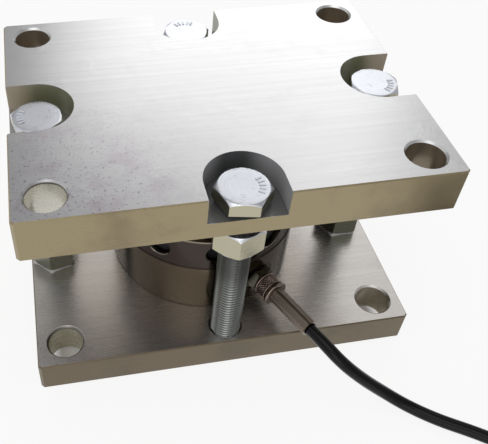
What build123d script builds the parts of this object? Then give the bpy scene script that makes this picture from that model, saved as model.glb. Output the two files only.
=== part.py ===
from build123d import *
from math import cos, degrees, pi, radians, sin, sqrt, tan
import os

# Load cell weighing module, in millimetres.
# The origin is the centre of the base plate's underside, +Z is up, X runs along the long side of
# the plates and -Y is the front, where the cable leaves. Azimuths are counted from the front,
# positive towards +X. Heights named "level" are above the base plate's top face.

# Plates, and the metal between a bolt's or mounting hole's axis and the plate's edge
plate_length = 200.0
base_thickness = 19.0
top_thickness = 23.5
plate_edge_break = 0.6
plate_corner_chamfer = 1.5
side_bolt_edge = 14.0
end_bolt_edge = 11.0
mount_edge_x = 15.0
mount_edge_y = 14.0
mount_hole_diameter = 18.0
hole_chamfer = 1.0

# Bolt pockets in the top plate
pocket_width = 36.4
pocket_depth = 14.0
shank_play = 1.5

# Bolts and nuts, M16, and the room between an end bolt's shank and the load cell
thread_diameter = 16.0
thread_fit = 0.05
end_shank_gap = 4.5
head_flats = 23.7
head_height = 7.4
head_face_ratio = 0.95
hex_sides = 6
hex_chamfer_angle = 30.0
bolt_tip_inset = 3.5
bolt_tip_chamfer = 1.5
nut_height = 14.0
front_lift_gap = 2.5
back_lift_gap = 1.2
left_lift_gap = 1.0
right_lift_gap = 2.6
support_nut_gap = 2.0
front_head_turn = -10.5
back_head_turn = 8.0
left_head_turn = -20.0
right_head_turn = 12.0
front_nut_turn = 20.0
back_nut_turn = 5.0
left_nut_turn = 15.0
right_nut_turn = 0.0

# Load cell body, from the hub outwards
hub_diameter = 35.0
hub_rise = 2.0
spoke_length = 18.5
spoke_width = 9.0
spoke_height = 13.0
spoke_root = 1.0
spoke_count = 5
ring_thickness = 15.5
cell_height = 51.0
band_step = 0.6
band_margin = 3.5
cell_edge_chamfer = 0.8
gauge_bore_diameter = 13.0
gauge_bore_drop = 9.0
gauge_bore_rim = 0.7
gauge_bore_first = -3.9
bores_per_spoke = 2
plate_headroom = 33.0

# Cuts: the slope of bevels and sinks, and how far a cut runs past its face
bevel_angle = 45.0
cut_overrun = 1.0
size_match = 0.01

# Covers, board and seals of the load cell
cover_thickness = 1.6
cover_seat_width = 2.0
cover_fit = 0.1
bottom_cover_thickness = 2.0
overload_gap = 0.4
plug_depth = 4.0
plug_length = 9.0
plug_fit = 0.05
gauge_length = 6.0
gauge_width = 4.0
gauge_thickness = 0.2
gauge_hub_gap = 6.5
board_thickness = 1.6
board_lift = 6.0
board_clearance = 2.0
board_screw_diameter = 3.0
board_screw_head = 5.5
board_screw_head_height = 2.1
board_screw_count = 3
board_screw_first = 90.0
spacer_diameter = 6.0

# Screws that hold the load cell from below, M8
cell_screw_count = 4
cell_screw_first = 45.0
cell_screw_diameter = 8.0
cell_screw_head = 13.0
cell_screw_hole = 9.0
cell_screw_sink = 14.5
cell_screw_sink_depth = 9.0
cell_screw_grip = 12.0
cell_screw_key = 6.0
cell_screw_key_depth = 4.0
cell_tap_runout = 4.0

# Load button and pressure pad
hub_socket_wall = 7.5
button_spigot_length = 13.0
button_collar_inset = 0.5
button_collar_height = 5.0
button_stem_inset = 3.0
button_crown_radius = 40.0
pad_rim_width = 9.0
pad_recess = 4.5
pad_drop = 8.0
cup_radius = 46.0
cup_play = 4.0
contact_gap = 0.1
pad_screw_count = 3
pad_screw_first = 90.0
pad_screw_diameter = 4.0
pad_screw_head = 7.5
pad_screw_grip = 5.5
pad_fit = 0.1

# Cable gland, on a radial axis
gland_azimuth = 24.3
gland_level = 16.0
gland_face_diameter = 19.0
gland_face_depth = 1.0
gland_thread_diameter = 10.0
gland_washer_thickness = 1.0
gland_washer_diameter = 15.0
gland_flats = 14.0
gland_hex_length = 5.0
gland_hex_chamfer = 0.8
gland_collar_diameter = 10.6
gland_collar_length = 5.0
gland_seat_depth = 2.5
gland_seal_diameter = 8.6
gland_seal_lip = 1.5
gland_nut_diameter = 13.6
gland_nut_length = 8.0
gland_bead_width = 1.3
gland_grip_depth = 0.5
gland_flange_diameter = 14.2
gland_flange_length = 2.0
gland_neck_depth = 1.2
gland_neck_width = 0.6
relief_diameter = 9.0
relief_wall = 0.9
relief_length = 28.3
relief_seat = 2.4

# Cable, on its route from the gland to the coil
cable_diameter = 6.5
cable_fit = 0.05
floor_clearance = 0.05
cable_lead_out = 8.6
cable_route = (
    (49.3, -102.1, 29.1),
    (60.5, -107.5, 19.2),
    (73.4, -111.7, 9.0),
    (84.6, -118.0, 3.3),
    (97.0, -128.0, 3.3),
    (112.0, -137.0, 3.3),
    (127.5, -148.0, 3.3),
    (144.0, -161.5, 4.3),
    (160.0, -176.5, 4.3),
)
corner_share = 0.45
coil_mean_radius = 37.0
coil_columns = 4
coil_rows = 3
coil_round = 3.0
coil_notch_turn = 36.0
coil_tail_turn = 78.0
coil_fit = 0.1
tie_count = 2
tie_thickness = 1.0
tie_width = 6.0
tie_first = 100.0
tie_step = 140.0
sleeve_diameter = 7.3
sleeve_length = 10.0
lead_diameter = 1.3
lead_circle = 3.6
lead_length = 26.0
lead_count = 5

# Levels and radii that follow from the sizes above
base_top = base_thickness
plate_under = base_top + cell_height + plate_headroom
overall_height = plate_under + top_thickness
pocket_floor = overall_height - pocket_depth
lowest_seat = pocket_floor + min(front_lift_gap, back_lift_gap, left_lift_gap, right_lift_gap)
bolt_length = lowest_seat - bolt_tip_inset
hub_radius = hub_diameter / 2
hub_top = base_top + cell_height + hub_rise
ring_inner_radius = hub_radius + spoke_length
cell_radius = ring_inner_radius + ring_thickness
cell_screw_radius = cell_radius - ring_thickness / 2
side_bolt_x = plate_length / 2 - side_bolt_edge
end_bolt_y = cell_radius + end_shank_gap + thread_diameter / 2
plate_width = 2 * (end_bolt_y + end_bolt_edge)
mount_spacing_x = plate_length - 2 * mount_edge_x
mount_spacing_y = plate_width - 2 * mount_edge_y
bolt_axes = ((side_bolt_x, 0), (-side_bolt_x, 0), (0, end_bolt_y), (0, -end_bolt_y))
gauge_bore_level = cell_height - gauge_bore_drop
lower_band_height = gauge_bore_level - gauge_bore_diameter / 2 - band_margin
bore_count = spoke_count * bores_per_spoke
bore_pitch = 360.0 / bore_count
gland_z = base_top + gland_level
spigot_radius = hub_radius - hub_socket_wall
button_collar_radius = hub_radius - button_collar_inset
button_stem_radius = button_collar_radius - button_stem_inset
cup_mouth_radius = button_stem_radius + cup_play
pad_radius = cup_mouth_radius + pad_rim_width
pad_screw_radius = (cup_mouth_radius + pad_radius) / 2
pad_bottom = plate_under - pad_drop
pad_top = plate_under + pad_recess
cup_depth = cup_radius - sqrt(cup_radius**2 - cup_mouth_radius**2)
button_top = pad_bottom + cup_depth - contact_gap
cable_radius = cable_diameter / 2
coil_height = coil_rows * cable_diameter
coil_outer_radius = coil_mean_radius + coil_columns * cable_diameter / 2
coil_inner_radius = coil_mean_radius - coil_columns * cable_diameter / 2

os.makedirs("parts", exist_ok=True)


def polar(radius, azimuth, z):
    """Point at a radius and azimuth from the front."""
    return (radius * sin(radians(azimuth)), -radius * cos(radians(azimuth)), z)


def outward(azimuth):
    """Horizontal unit vector that points out at an azimuth."""
    return (sin(radians(azimuth)), -cos(radians(azimuth)), 0)


def radial_plane(radius, azimuth, z):
    """Plane that faces outwards, with its local y up."""
    side = (cos(radians(azimuth)), sin(radians(azimuth)), 0)
    return Plane(origin=polar(radius, azimuth, z), x_dir=side, z_dir=outward(azimuth))


def upright_plane(x, y, z):
    """Plane through a vertical axis, with local x along X and local y up."""
    return Plane(origin=(x, y, z), x_dir=(1, 0, 0), z_dir=(0, -1, 0))


def gland_plane(radius):
    """Plane across the gland's axis at a distance from the cell's axis."""
    return radial_plane(radius, gland_azimuth, gland_z)


def gland_profile_plane():
    """Plane that holds the gland's axis: local x outwards along it, local y sideways."""
    return Plane(origin=(0, 0, gland_z), x_dir=outward(gland_azimuth), z_dir=(0, 0, 1))


gland_axis = Axis((0, 0, gland_z), outward(gland_azimuth))


# Base plate
with BuildPart() as base_plate:
    with BuildSketch():
        Rectangle(plate_length, plate_width)
    extrude(amount=base_thickness)
    chamfer(base_plate.edges().filter_by(Axis.Z), plate_corner_chamfer)
    chamfer(base_plate.faces().filter_by(Axis.Z).edges(), plate_edge_break)
    with BuildSketch():
        with GridLocations(mount_spacing_x, mount_spacing_y, 2, 2):
            Circle(mount_hole_diameter / 2)
    extrude(amount=base_thickness, mode=Mode.SUBTRACT)
    with BuildSketch():
        with Locations(*bolt_axes):
            Circle(thread_diameter / 2 + thread_fit)
    extrude(amount=base_thickness, mode=Mode.SUBTRACT)
    mouths = base_plate.faces().filter_by(Axis.Z).edges().filter_by(GeomType.CIRCLE)
    chamfer(mouths, hole_chamfer)
    with BuildSketch():
        with PolarLocations(cell_screw_radius, cell_screw_count, start_angle=cell_screw_first):
            Circle(cell_screw_hole / 2)
    extrude(amount=base_thickness, mode=Mode.SUBTRACT)
    with BuildSketch():
        with PolarLocations(cell_screw_radius, cell_screw_count, start_angle=cell_screw_first):
            Circle(cell_screw_sink / 2)
    extrude(amount=cell_screw_sink_depth, mode=Mode.SUBTRACT)
base_plate.part.label = "base_plate"
export_step(base_plate.part, "parts/base_plate.step")


# Top plate, with a pocket open to each side for a bolt head
pocket_radius = pocket_width / 2
pockets = (
    (side_bolt_x, 0.0, plate_length / 2 - side_bolt_x, 0.0),
    (-side_bolt_x, 0.0, side_bolt_x - plate_length / 2, 0.0),
    (0.0, end_bolt_y, 0.0, plate_width / 2 - end_bolt_y),
    (0.0, -end_bolt_y, 0.0, end_bolt_y - plate_width / 2),
)
with BuildPart() as top_plate:
    with BuildSketch(Plane.XY.offset(plate_under)):
        Rectangle(plate_length, plate_width)
    extrude(amount=top_thickness)
    chamfer(top_plate.edges().filter_by(Axis.Z), plate_corner_chamfer)
    chamfer(top_plate.faces().filter_by(Axis.Z).edges(), plate_edge_break)
    with BuildSketch(Plane.XY.offset(pocket_floor)):
        for x, y, run_x, run_y in pockets:
            with Locations((x, y)):
                Circle(pocket_radius)
            with Locations((x + run_x, y + run_y)):
                Rectangle(
                    2 * abs(run_x) if run_x else pocket_width,
                    2 * abs(run_y) if run_y else pocket_width,
                )
    extrude(amount=pocket_depth, mode=Mode.SUBTRACT)
    with BuildSketch(Plane.XY.offset(plate_under)):
        with GridLocations(mount_spacing_x, mount_spacing_y, 2, 2):
            Circle(mount_hole_diameter / 2)
    extrude(amount=top_thickness, mode=Mode.SUBTRACT)
    with BuildSketch(Plane.XY.offset(plate_under)):
        with Locations(*bolt_axes):
            Circle(thread_diameter / 2 + shank_play)
    extrude(amount=top_thickness, mode=Mode.SUBTRACT)
    rims = top_plate.edges().filter_by(GeomType.CIRCLE).filter_by(
        lambda edge: edge.is_closed and abs(edge.radius - mount_hole_diameter / 2) < size_match
    )
    chamfer(rims, hole_chamfer)
    with BuildSketch(Plane.XY.offset(plate_under)):
        Circle(pad_radius + pad_fit)
    extrude(amount=pad_recess, mode=Mode.SUBTRACT)
    with BuildSketch(Plane.XY.offset(pad_top)):
        with PolarLocations(pad_screw_radius, pad_screw_count, start_angle=pad_screw_first):
            Circle(pad_screw_diameter / 2 + thread_fit)
    extrude(amount=pad_screw_grip + cut_overrun, mode=Mode.SUBTRACT)
top_plate.part.label = "top_plate"
export_step(top_plate.part, "parts/top_plate.step")


# Bolts: a hexagon head with one chamfered face on a shank threaded all along
corner_radius = head_flats / 2 / cos(pi / hex_sides)
face_radius = head_face_ratio * head_flats / 2
chamfer_drop = (corner_radius - face_radius) * tan(radians(hex_chamfer_angle))
bolts = {
    "front_support_bolt": (0.0, -end_bolt_y, front_lift_gap, front_head_turn),
    "back_support_bolt": (0.0, end_bolt_y, back_lift_gap, back_head_turn),
    "left_limit_bolt": (-side_bolt_x, 0.0, left_lift_gap, left_head_turn),
    "right_limit_bolt": (side_bolt_x, 0.0, right_lift_gap, right_head_turn),
}
for bolt_name, (x, y, lift_gap, turn) in bolts.items():
    head_seat = pocket_floor + lift_gap
    with BuildPart() as bolt:
        with BuildSketch(upright_plane(x, y, head_seat)):
            with BuildLine():
                Polyline(
                    (0, 0),
                    (corner_radius, 0),
                    (corner_radius, head_height - chamfer_drop),
                    (face_radius, head_height),
                    (0, head_height),
                    close=True,
                )
            make_face()
        revolve(axis=Axis((x, y, 0), (0, 0, 1)))
        with BuildSketch(Plane(origin=(x, y, head_seat))):
            RegularPolygon(head_flats / 2, hex_sides, major_radius=False, rotation=turn)
        extrude(amount=head_height, mode=Mode.INTERSECT)
        with BuildSketch(upright_plane(x, y, head_seat - bolt_length)):
            with BuildLine():
                Polyline(
                    (0, 0),
                    (thread_diameter / 2 - bolt_tip_chamfer, 0),
                    (thread_diameter / 2, bolt_tip_chamfer),
                    (thread_diameter / 2, bolt_length),
                    (0, bolt_length),
                    close=True,
                )
            make_face()
        revolve(axis=Axis((x, y, 0), (0, 0, 1)))
    bolt.part.label = bolt_name
    export_step(bolt.part, f"parts/{bolt_name}.step")


# Nuts: support nuts just under the top plate, lock nuts down on the base plate
support_nut_bottom = plate_under - support_nut_gap - nut_height
nuts = {
    "front_support_nut": (0.0, -end_bolt_y, support_nut_bottom, front_nut_turn),
    "back_support_nut": (0.0, end_bolt_y, support_nut_bottom, back_nut_turn),
    "left_lock_nut": (-side_bolt_x, 0.0, base_top, left_nut_turn),
    "right_lock_nut": (side_bolt_x, 0.0, base_top, right_nut_turn),
}
bore_radius = thread_diameter / 2 + thread_fit
for nut_name, (x, y, bottom, turn) in nuts.items():
    with BuildPart() as nut:
        with BuildSketch(upright_plane(x, y, bottom)):
            with BuildLine():
                Polyline(
                    (bore_radius, 0),
                    (face_radius, 0),
                    (corner_radius, chamfer_drop),
                    (corner_radius, nut_height - chamfer_drop),
                    (face_radius, nut_height),
                    (bore_radius, nut_height),
                    close=True,
                )
            make_face()
        revolve(axis=Axis((x, y, 0), (0, 0, 1)))
        with BuildSketch(Plane(origin=(x, y, bottom))):
            RegularPolygon(head_flats / 2, hex_sides, major_radius=False, rotation=turn)
        extrude(amount=nut_height, mode=Mode.INTERSECT)
    nut.part.label = nut_name
    export_step(nut.part, f"parts/{nut_name}.step")


# Load cell body: outer ring, hub and spokes in one piece
upper_radius = cell_radius - band_step
cell_top = base_top + cell_height
spoke_bottom = base_top + gauge_bore_level - spoke_height / 2
cover_seat = cell_top - cover_thickness
hub_bottom = base_top + bottom_cover_thickness + overload_gap
with BuildPart() as load_cell_body:
    with BuildSketch(upright_plane(0, 0, base_top)):
        with BuildLine():
            Polyline(
                (ring_inner_radius + cover_seat_width, 0),
                (cell_radius - cell_edge_chamfer, 0),
                (cell_radius, cell_edge_chamfer),
                (cell_radius, lower_band_height - band_step),
                (upper_radius, lower_band_height),
                (upper_radius, cell_height - cell_edge_chamfer),
                (upper_radius - cell_edge_chamfer, cell_height),
                (ring_inner_radius + cover_seat_width, cell_height),
                (ring_inner_radius + cover_seat_width, cell_height - cover_thickness),
                (ring_inner_radius, cell_height - cover_thickness),
                (ring_inner_radius, bottom_cover_thickness),
                (ring_inner_radius + cover_seat_width, bottom_cover_thickness),
                close=True,
            )
        make_face()
    revolve(axis=Axis.Z)
    with BuildSketch(upright_plane(0, 0, 0)):
        with BuildLine():
            Polyline(
                (0, hub_bottom),
                (hub_radius, hub_bottom),
                (hub_radius, cover_seat),
                (hub_radius - cover_seat_width, cover_seat),
                (hub_radius - cover_seat_width, hub_top - cell_edge_chamfer),
                (hub_radius - cover_seat_width - cell_edge_chamfer, hub_top),
                (0, hub_top),
                close=True,
            )
        make_face()
    revolve(axis=Axis.Z)
    for spoke in range(spoke_count):
        spoke_azimuth = gauge_bore_first + bore_pitch / 2 + spoke * bore_pitch * bores_per_spoke
        spoke_middle = spoke_bottom + spoke_height / 2
        with BuildSketch(radial_plane(hub_radius - spoke_root, spoke_azimuth, spoke_middle)):
            Rectangle(spoke_width, spoke_height)
        extrude(amount=spoke_length + 2 * spoke_root)
    with BuildSketch(Plane.XY.offset(hub_top)):
        Circle(spigot_radius + thread_fit)
    extrude(amount=-(button_spigot_length + cut_overrun), mode=Mode.SUBTRACT)
    for bore in range(bore_count):
        bore_azimuth = gauge_bore_first + bore * bore_pitch
        with BuildSketch(radial_plane(cell_radius, bore_azimuth, base_top + gauge_bore_level)):
            Circle(gauge_bore_diameter / 2)
        extrude(amount=-(ring_thickness + cut_overrun), mode=Mode.SUBTRACT)
        with BuildSketch(radial_plane(upper_radius, bore_azimuth, base_top + gauge_bore_level)):
            Circle(gauge_bore_diameter / 2 + gauge_bore_rim)
        extrude(amount=-(gauge_bore_rim + cut_overrun), taper=bevel_angle, mode=Mode.SUBTRACT)
    with BuildSketch(Plane.XY.offset(base_top)):
        with PolarLocations(cell_screw_radius, cell_screw_count, start_angle=cell_screw_first):
            Circle(cell_screw_diameter / 2 + thread_fit)
    extrude(amount=cell_screw_grip + cell_tap_runout, mode=Mode.SUBTRACT)
    with BuildSketch(gland_plane(cell_radius + cut_overrun)):
        Circle(gland_face_diameter / 2)
    extrude(amount=-(gland_face_depth + cut_overrun), mode=Mode.SUBTRACT)
    with BuildSketch(gland_plane(cell_radius)):
        Circle(gland_thread_diameter / 2 + thread_fit)
    extrude(amount=-(ring_thickness + cut_overrun), mode=Mode.SUBTRACT)
load_cell_body.part.label = "load_cell_body"
export_step(load_cell_body.part, "parts/load_cell_body.step")


# Covers that close the ring above and below
with BuildPart() as top_cover:
    with BuildSketch(Plane.XY.offset(cover_seat)):
        Circle(ring_inner_radius + cover_seat_width - cover_fit)
        Circle(hub_radius - cover_seat_width + cover_fit, mode=Mode.SUBTRACT)
    extrude(amount=cover_thickness)
top_cover.part.label = "top_cover"
export_step(top_cover.part, "parts/top_cover.step")

with BuildPart() as bottom_cover:
    with BuildSketch(Plane.XY.offset(base_top)):
        Circle(ring_inner_radius + cover_seat_width - cover_fit)
    extrude(amount=bottom_cover_thickness)
bottom_cover.part.label = "bottom_cover"
export_step(bottom_cover.part, "parts/bottom_cover.step")


# Seals set back in the gauge bores
with BuildPart() as bore_seals:
    for bore in range(bore_count):
        bore_azimuth = gauge_bore_first + bore * bore_pitch
        with BuildSketch(
            radial_plane(upper_radius - plug_depth, bore_azimuth, base_top + gauge_bore_level)
        ):
            Circle(gauge_bore_diameter / 2 - plug_fit)
        extrude(amount=-plug_length)
bore_seals.part.label = "bore_seals"
export_step(bore_seals.part, "parts/bore_seals.step")


# Strain gauges on both flanks of each spoke
gauge_start = hub_radius + gauge_hub_gap
with BuildPart() as strain_gauges:
    for spoke in range(spoke_count):
        spoke_azimuth = gauge_bore_first + bore_pitch / 2 + spoke * bore_pitch * bores_per_spoke
        with BuildSketch(radial_plane(gauge_start, spoke_azimuth, base_top + gauge_bore_level)):
            with Locations(
                ((spoke_width + gauge_thickness) / 2, 0), (-(spoke_width + gauge_thickness) / 2, 0)
            ):
                Rectangle(gauge_thickness, gauge_width)
        extrude(amount=gauge_length)
strain_gauges.part.label = "strain_gauges"
export_step(strain_gauges.part, "parts/strain_gauges.step")


# Terminal board round the hub, on spacers that stand on the bottom cover
board_bottom = base_top + bottom_cover_thickness + board_lift
board_inner_radius = hub_radius + board_clearance
board_outer_radius = ring_inner_radius - board_clearance
board_screw_radius = (board_inner_radius + board_outer_radius) / 2
with BuildPart() as terminal_board:
    with BuildSketch(Plane.XY.offset(board_bottom)):
        Circle(board_outer_radius)
        Circle(board_inner_radius, mode=Mode.SUBTRACT)
        with PolarLocations(board_screw_radius, board_screw_count, start_angle=board_screw_first):
            Circle(board_screw_diameter / 2 + thread_fit, mode=Mode.SUBTRACT)
    extrude(amount=board_thickness)
terminal_board.part.label = "terminal_board"
export_step(terminal_board.part, "parts/terminal_board.step")

with BuildPart() as board_spacers:
    with BuildSketch(Plane.XY.offset(base_top + bottom_cover_thickness)):
        with PolarLocations(board_screw_radius, board_screw_count, start_angle=board_screw_first):
            Circle(spacer_diameter / 2)
            Circle(board_screw_diameter / 2 + thread_fit, mode=Mode.SUBTRACT)
    extrude(amount=board_lift)
board_spacers.part.label = "board_spacers"
export_step(board_spacers.part, "parts/board_spacers.step")

with BuildPart() as board_screws:
    with BuildSketch(Plane.XY.offset(base_top + bottom_cover_thickness)):
        with PolarLocations(board_screw_radius, board_screw_count, start_angle=board_screw_first):
            Circle(board_screw_diameter / 2)
    extrude(amount=board_lift + board_thickness)
    with BuildSketch(Plane.XY.offset(board_bottom + board_thickness)):
        with PolarLocations(board_screw_radius, board_screw_count, start_angle=board_screw_first):
            Circle(board_screw_head / 2)
    extrude(amount=board_screw_head_height)
board_screws.part.label = "board_screws"
export_step(board_screws.part, "parts/board_screws.step")


# Socket head screws from below that hold the load cell
cell_screw_length = base_thickness - cell_screw_sink_depth + cell_screw_grip
with BuildPart() as cell_screws:
    with BuildSketch(Plane.XY.offset(cell_screw_sink_depth)):
        with PolarLocations(cell_screw_radius, cell_screw_count, start_angle=cell_screw_first):
            Circle(cell_screw_diameter / 2)
    extrude(amount=cell_screw_length)
    with BuildSketch(Plane.XY.offset(cell_screw_sink_depth - cell_screw_diameter)):
        with PolarLocations(cell_screw_radius, cell_screw_count, start_angle=cell_screw_first):
            Circle(cell_screw_head / 2)
    extrude(amount=cell_screw_diameter)
    with BuildSketch(Plane.XY.offset(cell_screw_sink_depth - cell_screw_diameter)):
        with PolarLocations(cell_screw_radius, cell_screw_count, start_angle=cell_screw_first):
            RegularPolygon(cell_screw_key / 2, hex_sides, major_radius=False)
    extrude(amount=cell_screw_key_depth, mode=Mode.SUBTRACT)
cell_screws.part.label = "cell_screws"
export_step(cell_screws.part, "parts/cell_screws.step")


# Load button with a spherical crown, seated in the hub
crown_edge = button_top - button_crown_radius + sqrt(button_crown_radius**2 - button_stem_radius**2)
with BuildPart() as load_button:
    with BuildSketch(upright_plane(0, 0, 0)):
        with BuildLine():
            outline = Polyline(
                (0, button_top),
                (0, hub_top - button_spigot_length),
                (spigot_radius, hub_top - button_spigot_length),
                (spigot_radius, hub_top),
                (button_collar_radius, hub_top),
                (button_collar_radius, hub_top + button_collar_height),
                (button_stem_radius, hub_top + button_collar_height),
                (button_stem_radius, crown_edge),
            )
            RadiusArc(outline @ 1, outline @ 0, -button_crown_radius)
        make_face()
    revolve(axis=Axis.Z)
load_button.part.label = "load_button"
export_step(load_button.part, "parts/load_button.step")


# Pressure pad with a spherical cup, screwed into the recess of the top plate
pad_sink_depth = (pad_screw_head - pad_screw_diameter) / 2
pad_screw_length = pad_drop + pad_recess + pad_screw_grip
with BuildPart() as pressure_pad:
    with BuildSketch(upright_plane(0, 0, 0)):
        with BuildLine():
            rim = Polyline(
                (cup_mouth_radius, pad_bottom),
                (pad_radius, pad_bottom),
                (pad_radius, pad_top),
                (0, pad_top),
                (0, pad_bottom + cup_depth),
            )
            RadiusArc(rim @ 1, rim @ 0, cup_radius)
        make_face()
    revolve(axis=Axis.Z)
    with BuildSketch(Plane.XY.offset(pad_bottom)):
        with PolarLocations(pad_screw_radius, pad_screw_count, start_angle=pad_screw_first):
            Circle(pad_screw_diameter / 2 + thread_fit)
    extrude(amount=pad_top - pad_bottom, mode=Mode.SUBTRACT)
    with BuildSketch(Plane.XY.offset(pad_bottom)):
        with PolarLocations(pad_screw_radius, pad_screw_count, start_angle=pad_screw_first):
            Circle(pad_screw_head / 2 + thread_fit)
    extrude(amount=pad_sink_depth, taper=bevel_angle, mode=Mode.SUBTRACT)
pressure_pad.part.label = "pressure_pad"
export_step(pressure_pad.part, "parts/pressure_pad.step")

with BuildPart() as pad_screws:
    with BuildSketch(Plane.XY.offset(pad_bottom)):
        with PolarLocations(pad_screw_radius, pad_screw_count, start_angle=pad_screw_first):
            Circle(pad_screw_diameter / 2)
    extrude(amount=pad_screw_length)
    with BuildSketch(Plane.XY.offset(pad_bottom)):
        with PolarLocations(pad_screw_radius, pad_screw_count, start_angle=pad_screw_first):
            Circle(pad_screw_head / 2)
    extrude(amount=pad_sink_depth, taper=bevel_angle)
pad_screws.part.label = "pad_screws"
export_step(pad_screws.part, "parts/pad_screws.step")


# Cable gland: sealing washer, hexagon body, seal, knurled nut and spring strain relief
gland_seat = cell_radius - gland_face_depth
gland_hex_start = gland_seat + gland_washer_thickness
gland_hex_end = gland_hex_start + gland_hex_length
gland_collar_end = gland_hex_end + gland_collar_length
gland_nut_end = gland_hex_end + gland_nut_length
gland_flange_end = gland_nut_end + gland_flange_length
relief_start = gland_flange_end - relief_seat
relief_end = relief_start + relief_length
seal_start = gland_hex_end - gland_seat_depth
seal_end = gland_collar_end + gland_seal_lip
cable_hole_radius = cable_radius + cable_fit
relief_bore_radius = relief_diameter / 2 - relief_wall

with BuildPart() as gland_washer:
    with BuildSketch(gland_plane(gland_seat)):
        Circle(gland_washer_diameter / 2)
        Circle(gland_thread_diameter / 2 + thread_fit, mode=Mode.SUBTRACT)
    extrude(amount=gland_washer_thickness)
gland_washer.part.label = "gland_washer"
export_step(gland_washer.part, "parts/gland_washer.step")

gland_corner_radius = gland_flats / 2 / cos(pi / hex_sides)
with BuildPart() as gland_body:
    with BuildSketch(gland_profile_plane()):
        with BuildLine():
            Polyline(
                (gland_hex_start, 0),
                (gland_hex_start, gland_corner_radius),
                (gland_hex_end - gland_hex_chamfer, gland_corner_radius),
                (gland_hex_end, gland_corner_radius - 2 * gland_hex_chamfer),
                (gland_hex_end, 0),
                close=True,
            )
        make_face()
    revolve(axis=gland_axis)
    with BuildSketch(gland_plane(gland_hex_start)):
        RegularPolygon(gland_flats / 2, hex_sides, major_radius=False)
    extrude(amount=gland_hex_length, mode=Mode.INTERSECT)
    with BuildSketch(gland_plane(ring_inner_radius)):
        Circle(gland_thread_diameter / 2)
    extrude(amount=gland_hex_start - ring_inner_radius)
    with BuildSketch(gland_plane(gland_hex_end)):
        Circle(gland_collar_diameter / 2)
    extrude(amount=gland_collar_length)
    with BuildSketch(gland_plane(gland_collar_end)):
        Circle(gland_seal_diameter / 2 + thread_fit)
    extrude(amount=seal_start - gland_collar_end, mode=Mode.SUBTRACT)
gland_body.part.label = "gland_body"
export_step(gland_body.part, "parts/gland_body.step")

with BuildPart() as gland_seal:
    with BuildSketch(gland_plane(seal_start)):
        Circle(gland_seal_diameter / 2)
        Circle(cable_hole_radius, mode=Mode.SUBTRACT)
    extrude(amount=seal_end - seal_start)
gland_seal.part.label = "gland_seal"
export_step(gland_seal.part, "parts/gland_seal.step")

grip_radius = gland_nut_diameter / 2 - gland_grip_depth
neck_radius = gland_nut_diameter / 2 - gland_neck_depth
with BuildPart() as gland_nut:
    with BuildSketch(gland_profile_plane()):
        with BuildLine():
            Polyline(
                (gland_hex_end, gland_collar_diameter / 2 + thread_fit),
                (gland_hex_end, gland_nut_diameter / 2),
                (gland_hex_end + gland_bead_width, gland_nut_diameter / 2),
                (gland_hex_end + gland_bead_width, grip_radius),
                (gland_nut_end - gland_neck_width - gland_bead_width, grip_radius),
                (gland_nut_end - gland_neck_width - gland_bead_width, gland_nut_diameter / 2),
                (gland_nut_end - gland_neck_width, gland_nut_diameter / 2),
                (gland_nut_end - gland_neck_width, neck_radius),
                (gland_nut_end, neck_radius),
                (gland_nut_end, gland_flange_diameter / 2),
                (gland_flange_end, gland_flange_diameter / 2),
                (gland_flange_end, relief_diameter / 2 + cable_fit),
                (relief_start, relief_diameter / 2 + cable_fit),
                (relief_start, relief_bore_radius),
                (seal_end, relief_bore_radius),
                (seal_end, gland_collar_diameter / 2 + thread_fit),
                close=True,
            )
        make_face()
    revolve(axis=gland_axis)
gland_nut.part.label = "gland_nut"
export_step(gland_nut.part, "parts/gland_nut.step")

with BuildPart() as strain_relief_spring:
    with BuildSketch(gland_plane(relief_start)):
        Circle(relief_diameter / 2)
        Circle(relief_bore_radius, mode=Mode.SUBTRACT)
    extrude(amount=relief_length)
strain_relief_spring.part.label = "strain_relief_spring"
export_step(strain_relief_spring.part, "parts/strain_relief_spring.step")


# Cable: straight runs joined by arcs, as large as the runs allow
route = [Vector(*polar(seal_start, gland_azimuth, gland_z))]
route.append(Vector(*polar(relief_end + cable_lead_out, gland_azimuth, gland_z)))
route += [Vector(*point) for point in cable_route]
corner_radii = []
for before, corner, after in zip(route, route[1:], route[2:]):
    turn = (corner - before).get_angle(after - corner)
    shorter_run = min((corner - before).length, (after - corner).length)
    corner_radii.append(corner_share * shorter_run / tan(radians(turn / 2)))
print("cable bend radii:", [round(radius, 1) for radius in corner_radii])

with BuildPart() as cable:
    with BuildLine() as cable_path:
        FilletPolyline(*route, radius=corner_radii)
    with BuildSketch(gland_plane(seal_start)):
        Circle(cable_radius)
    sweep(path=cable_path.line)
tube_length = sum(edge.length for edge in cable_path.edges())
tube_volume = tube_length * pi * cable_radius**2
print("cable tube length:", round(tube_length, 1))
print("cable volume against section times length:", round(cable.part.volume / tube_volume, 4))
cable.part.label = "cable"
export_step(cable.part, "parts/cable.step")


# Coil of the rest of the cable: it starts where the route ends and turns to the left
coil_start = route[-1]
coil_bottom = coil_start.Z - cable_radius
arrival = (route[-1] - route[-2]).normalized()
left = Vector(-arrival.Y, arrival.X, 0).normalized()
coil_center = coil_start + left * (coil_outer_radius - cable_radius)
start_angle = Vector(1, 0, 0).get_signed_angle(left * -1, Vector(0, 0, 1))
tail_radius = coil_inner_radius + cable_radius
tail_level = coil_bottom + coil_height - cable_radius


def coil_section(angle):
    """Upright plane through the coil's axis at an angle from its start: local x outwards."""
    turned = radians(start_angle + angle)
    return Plane(
        origin=(coil_center.X, coil_center.Y, 0),
        x_dir=(cos(turned), sin(turned), 0),
        z_dir=(sin(turned), -cos(turned), 0),
    )


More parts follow.
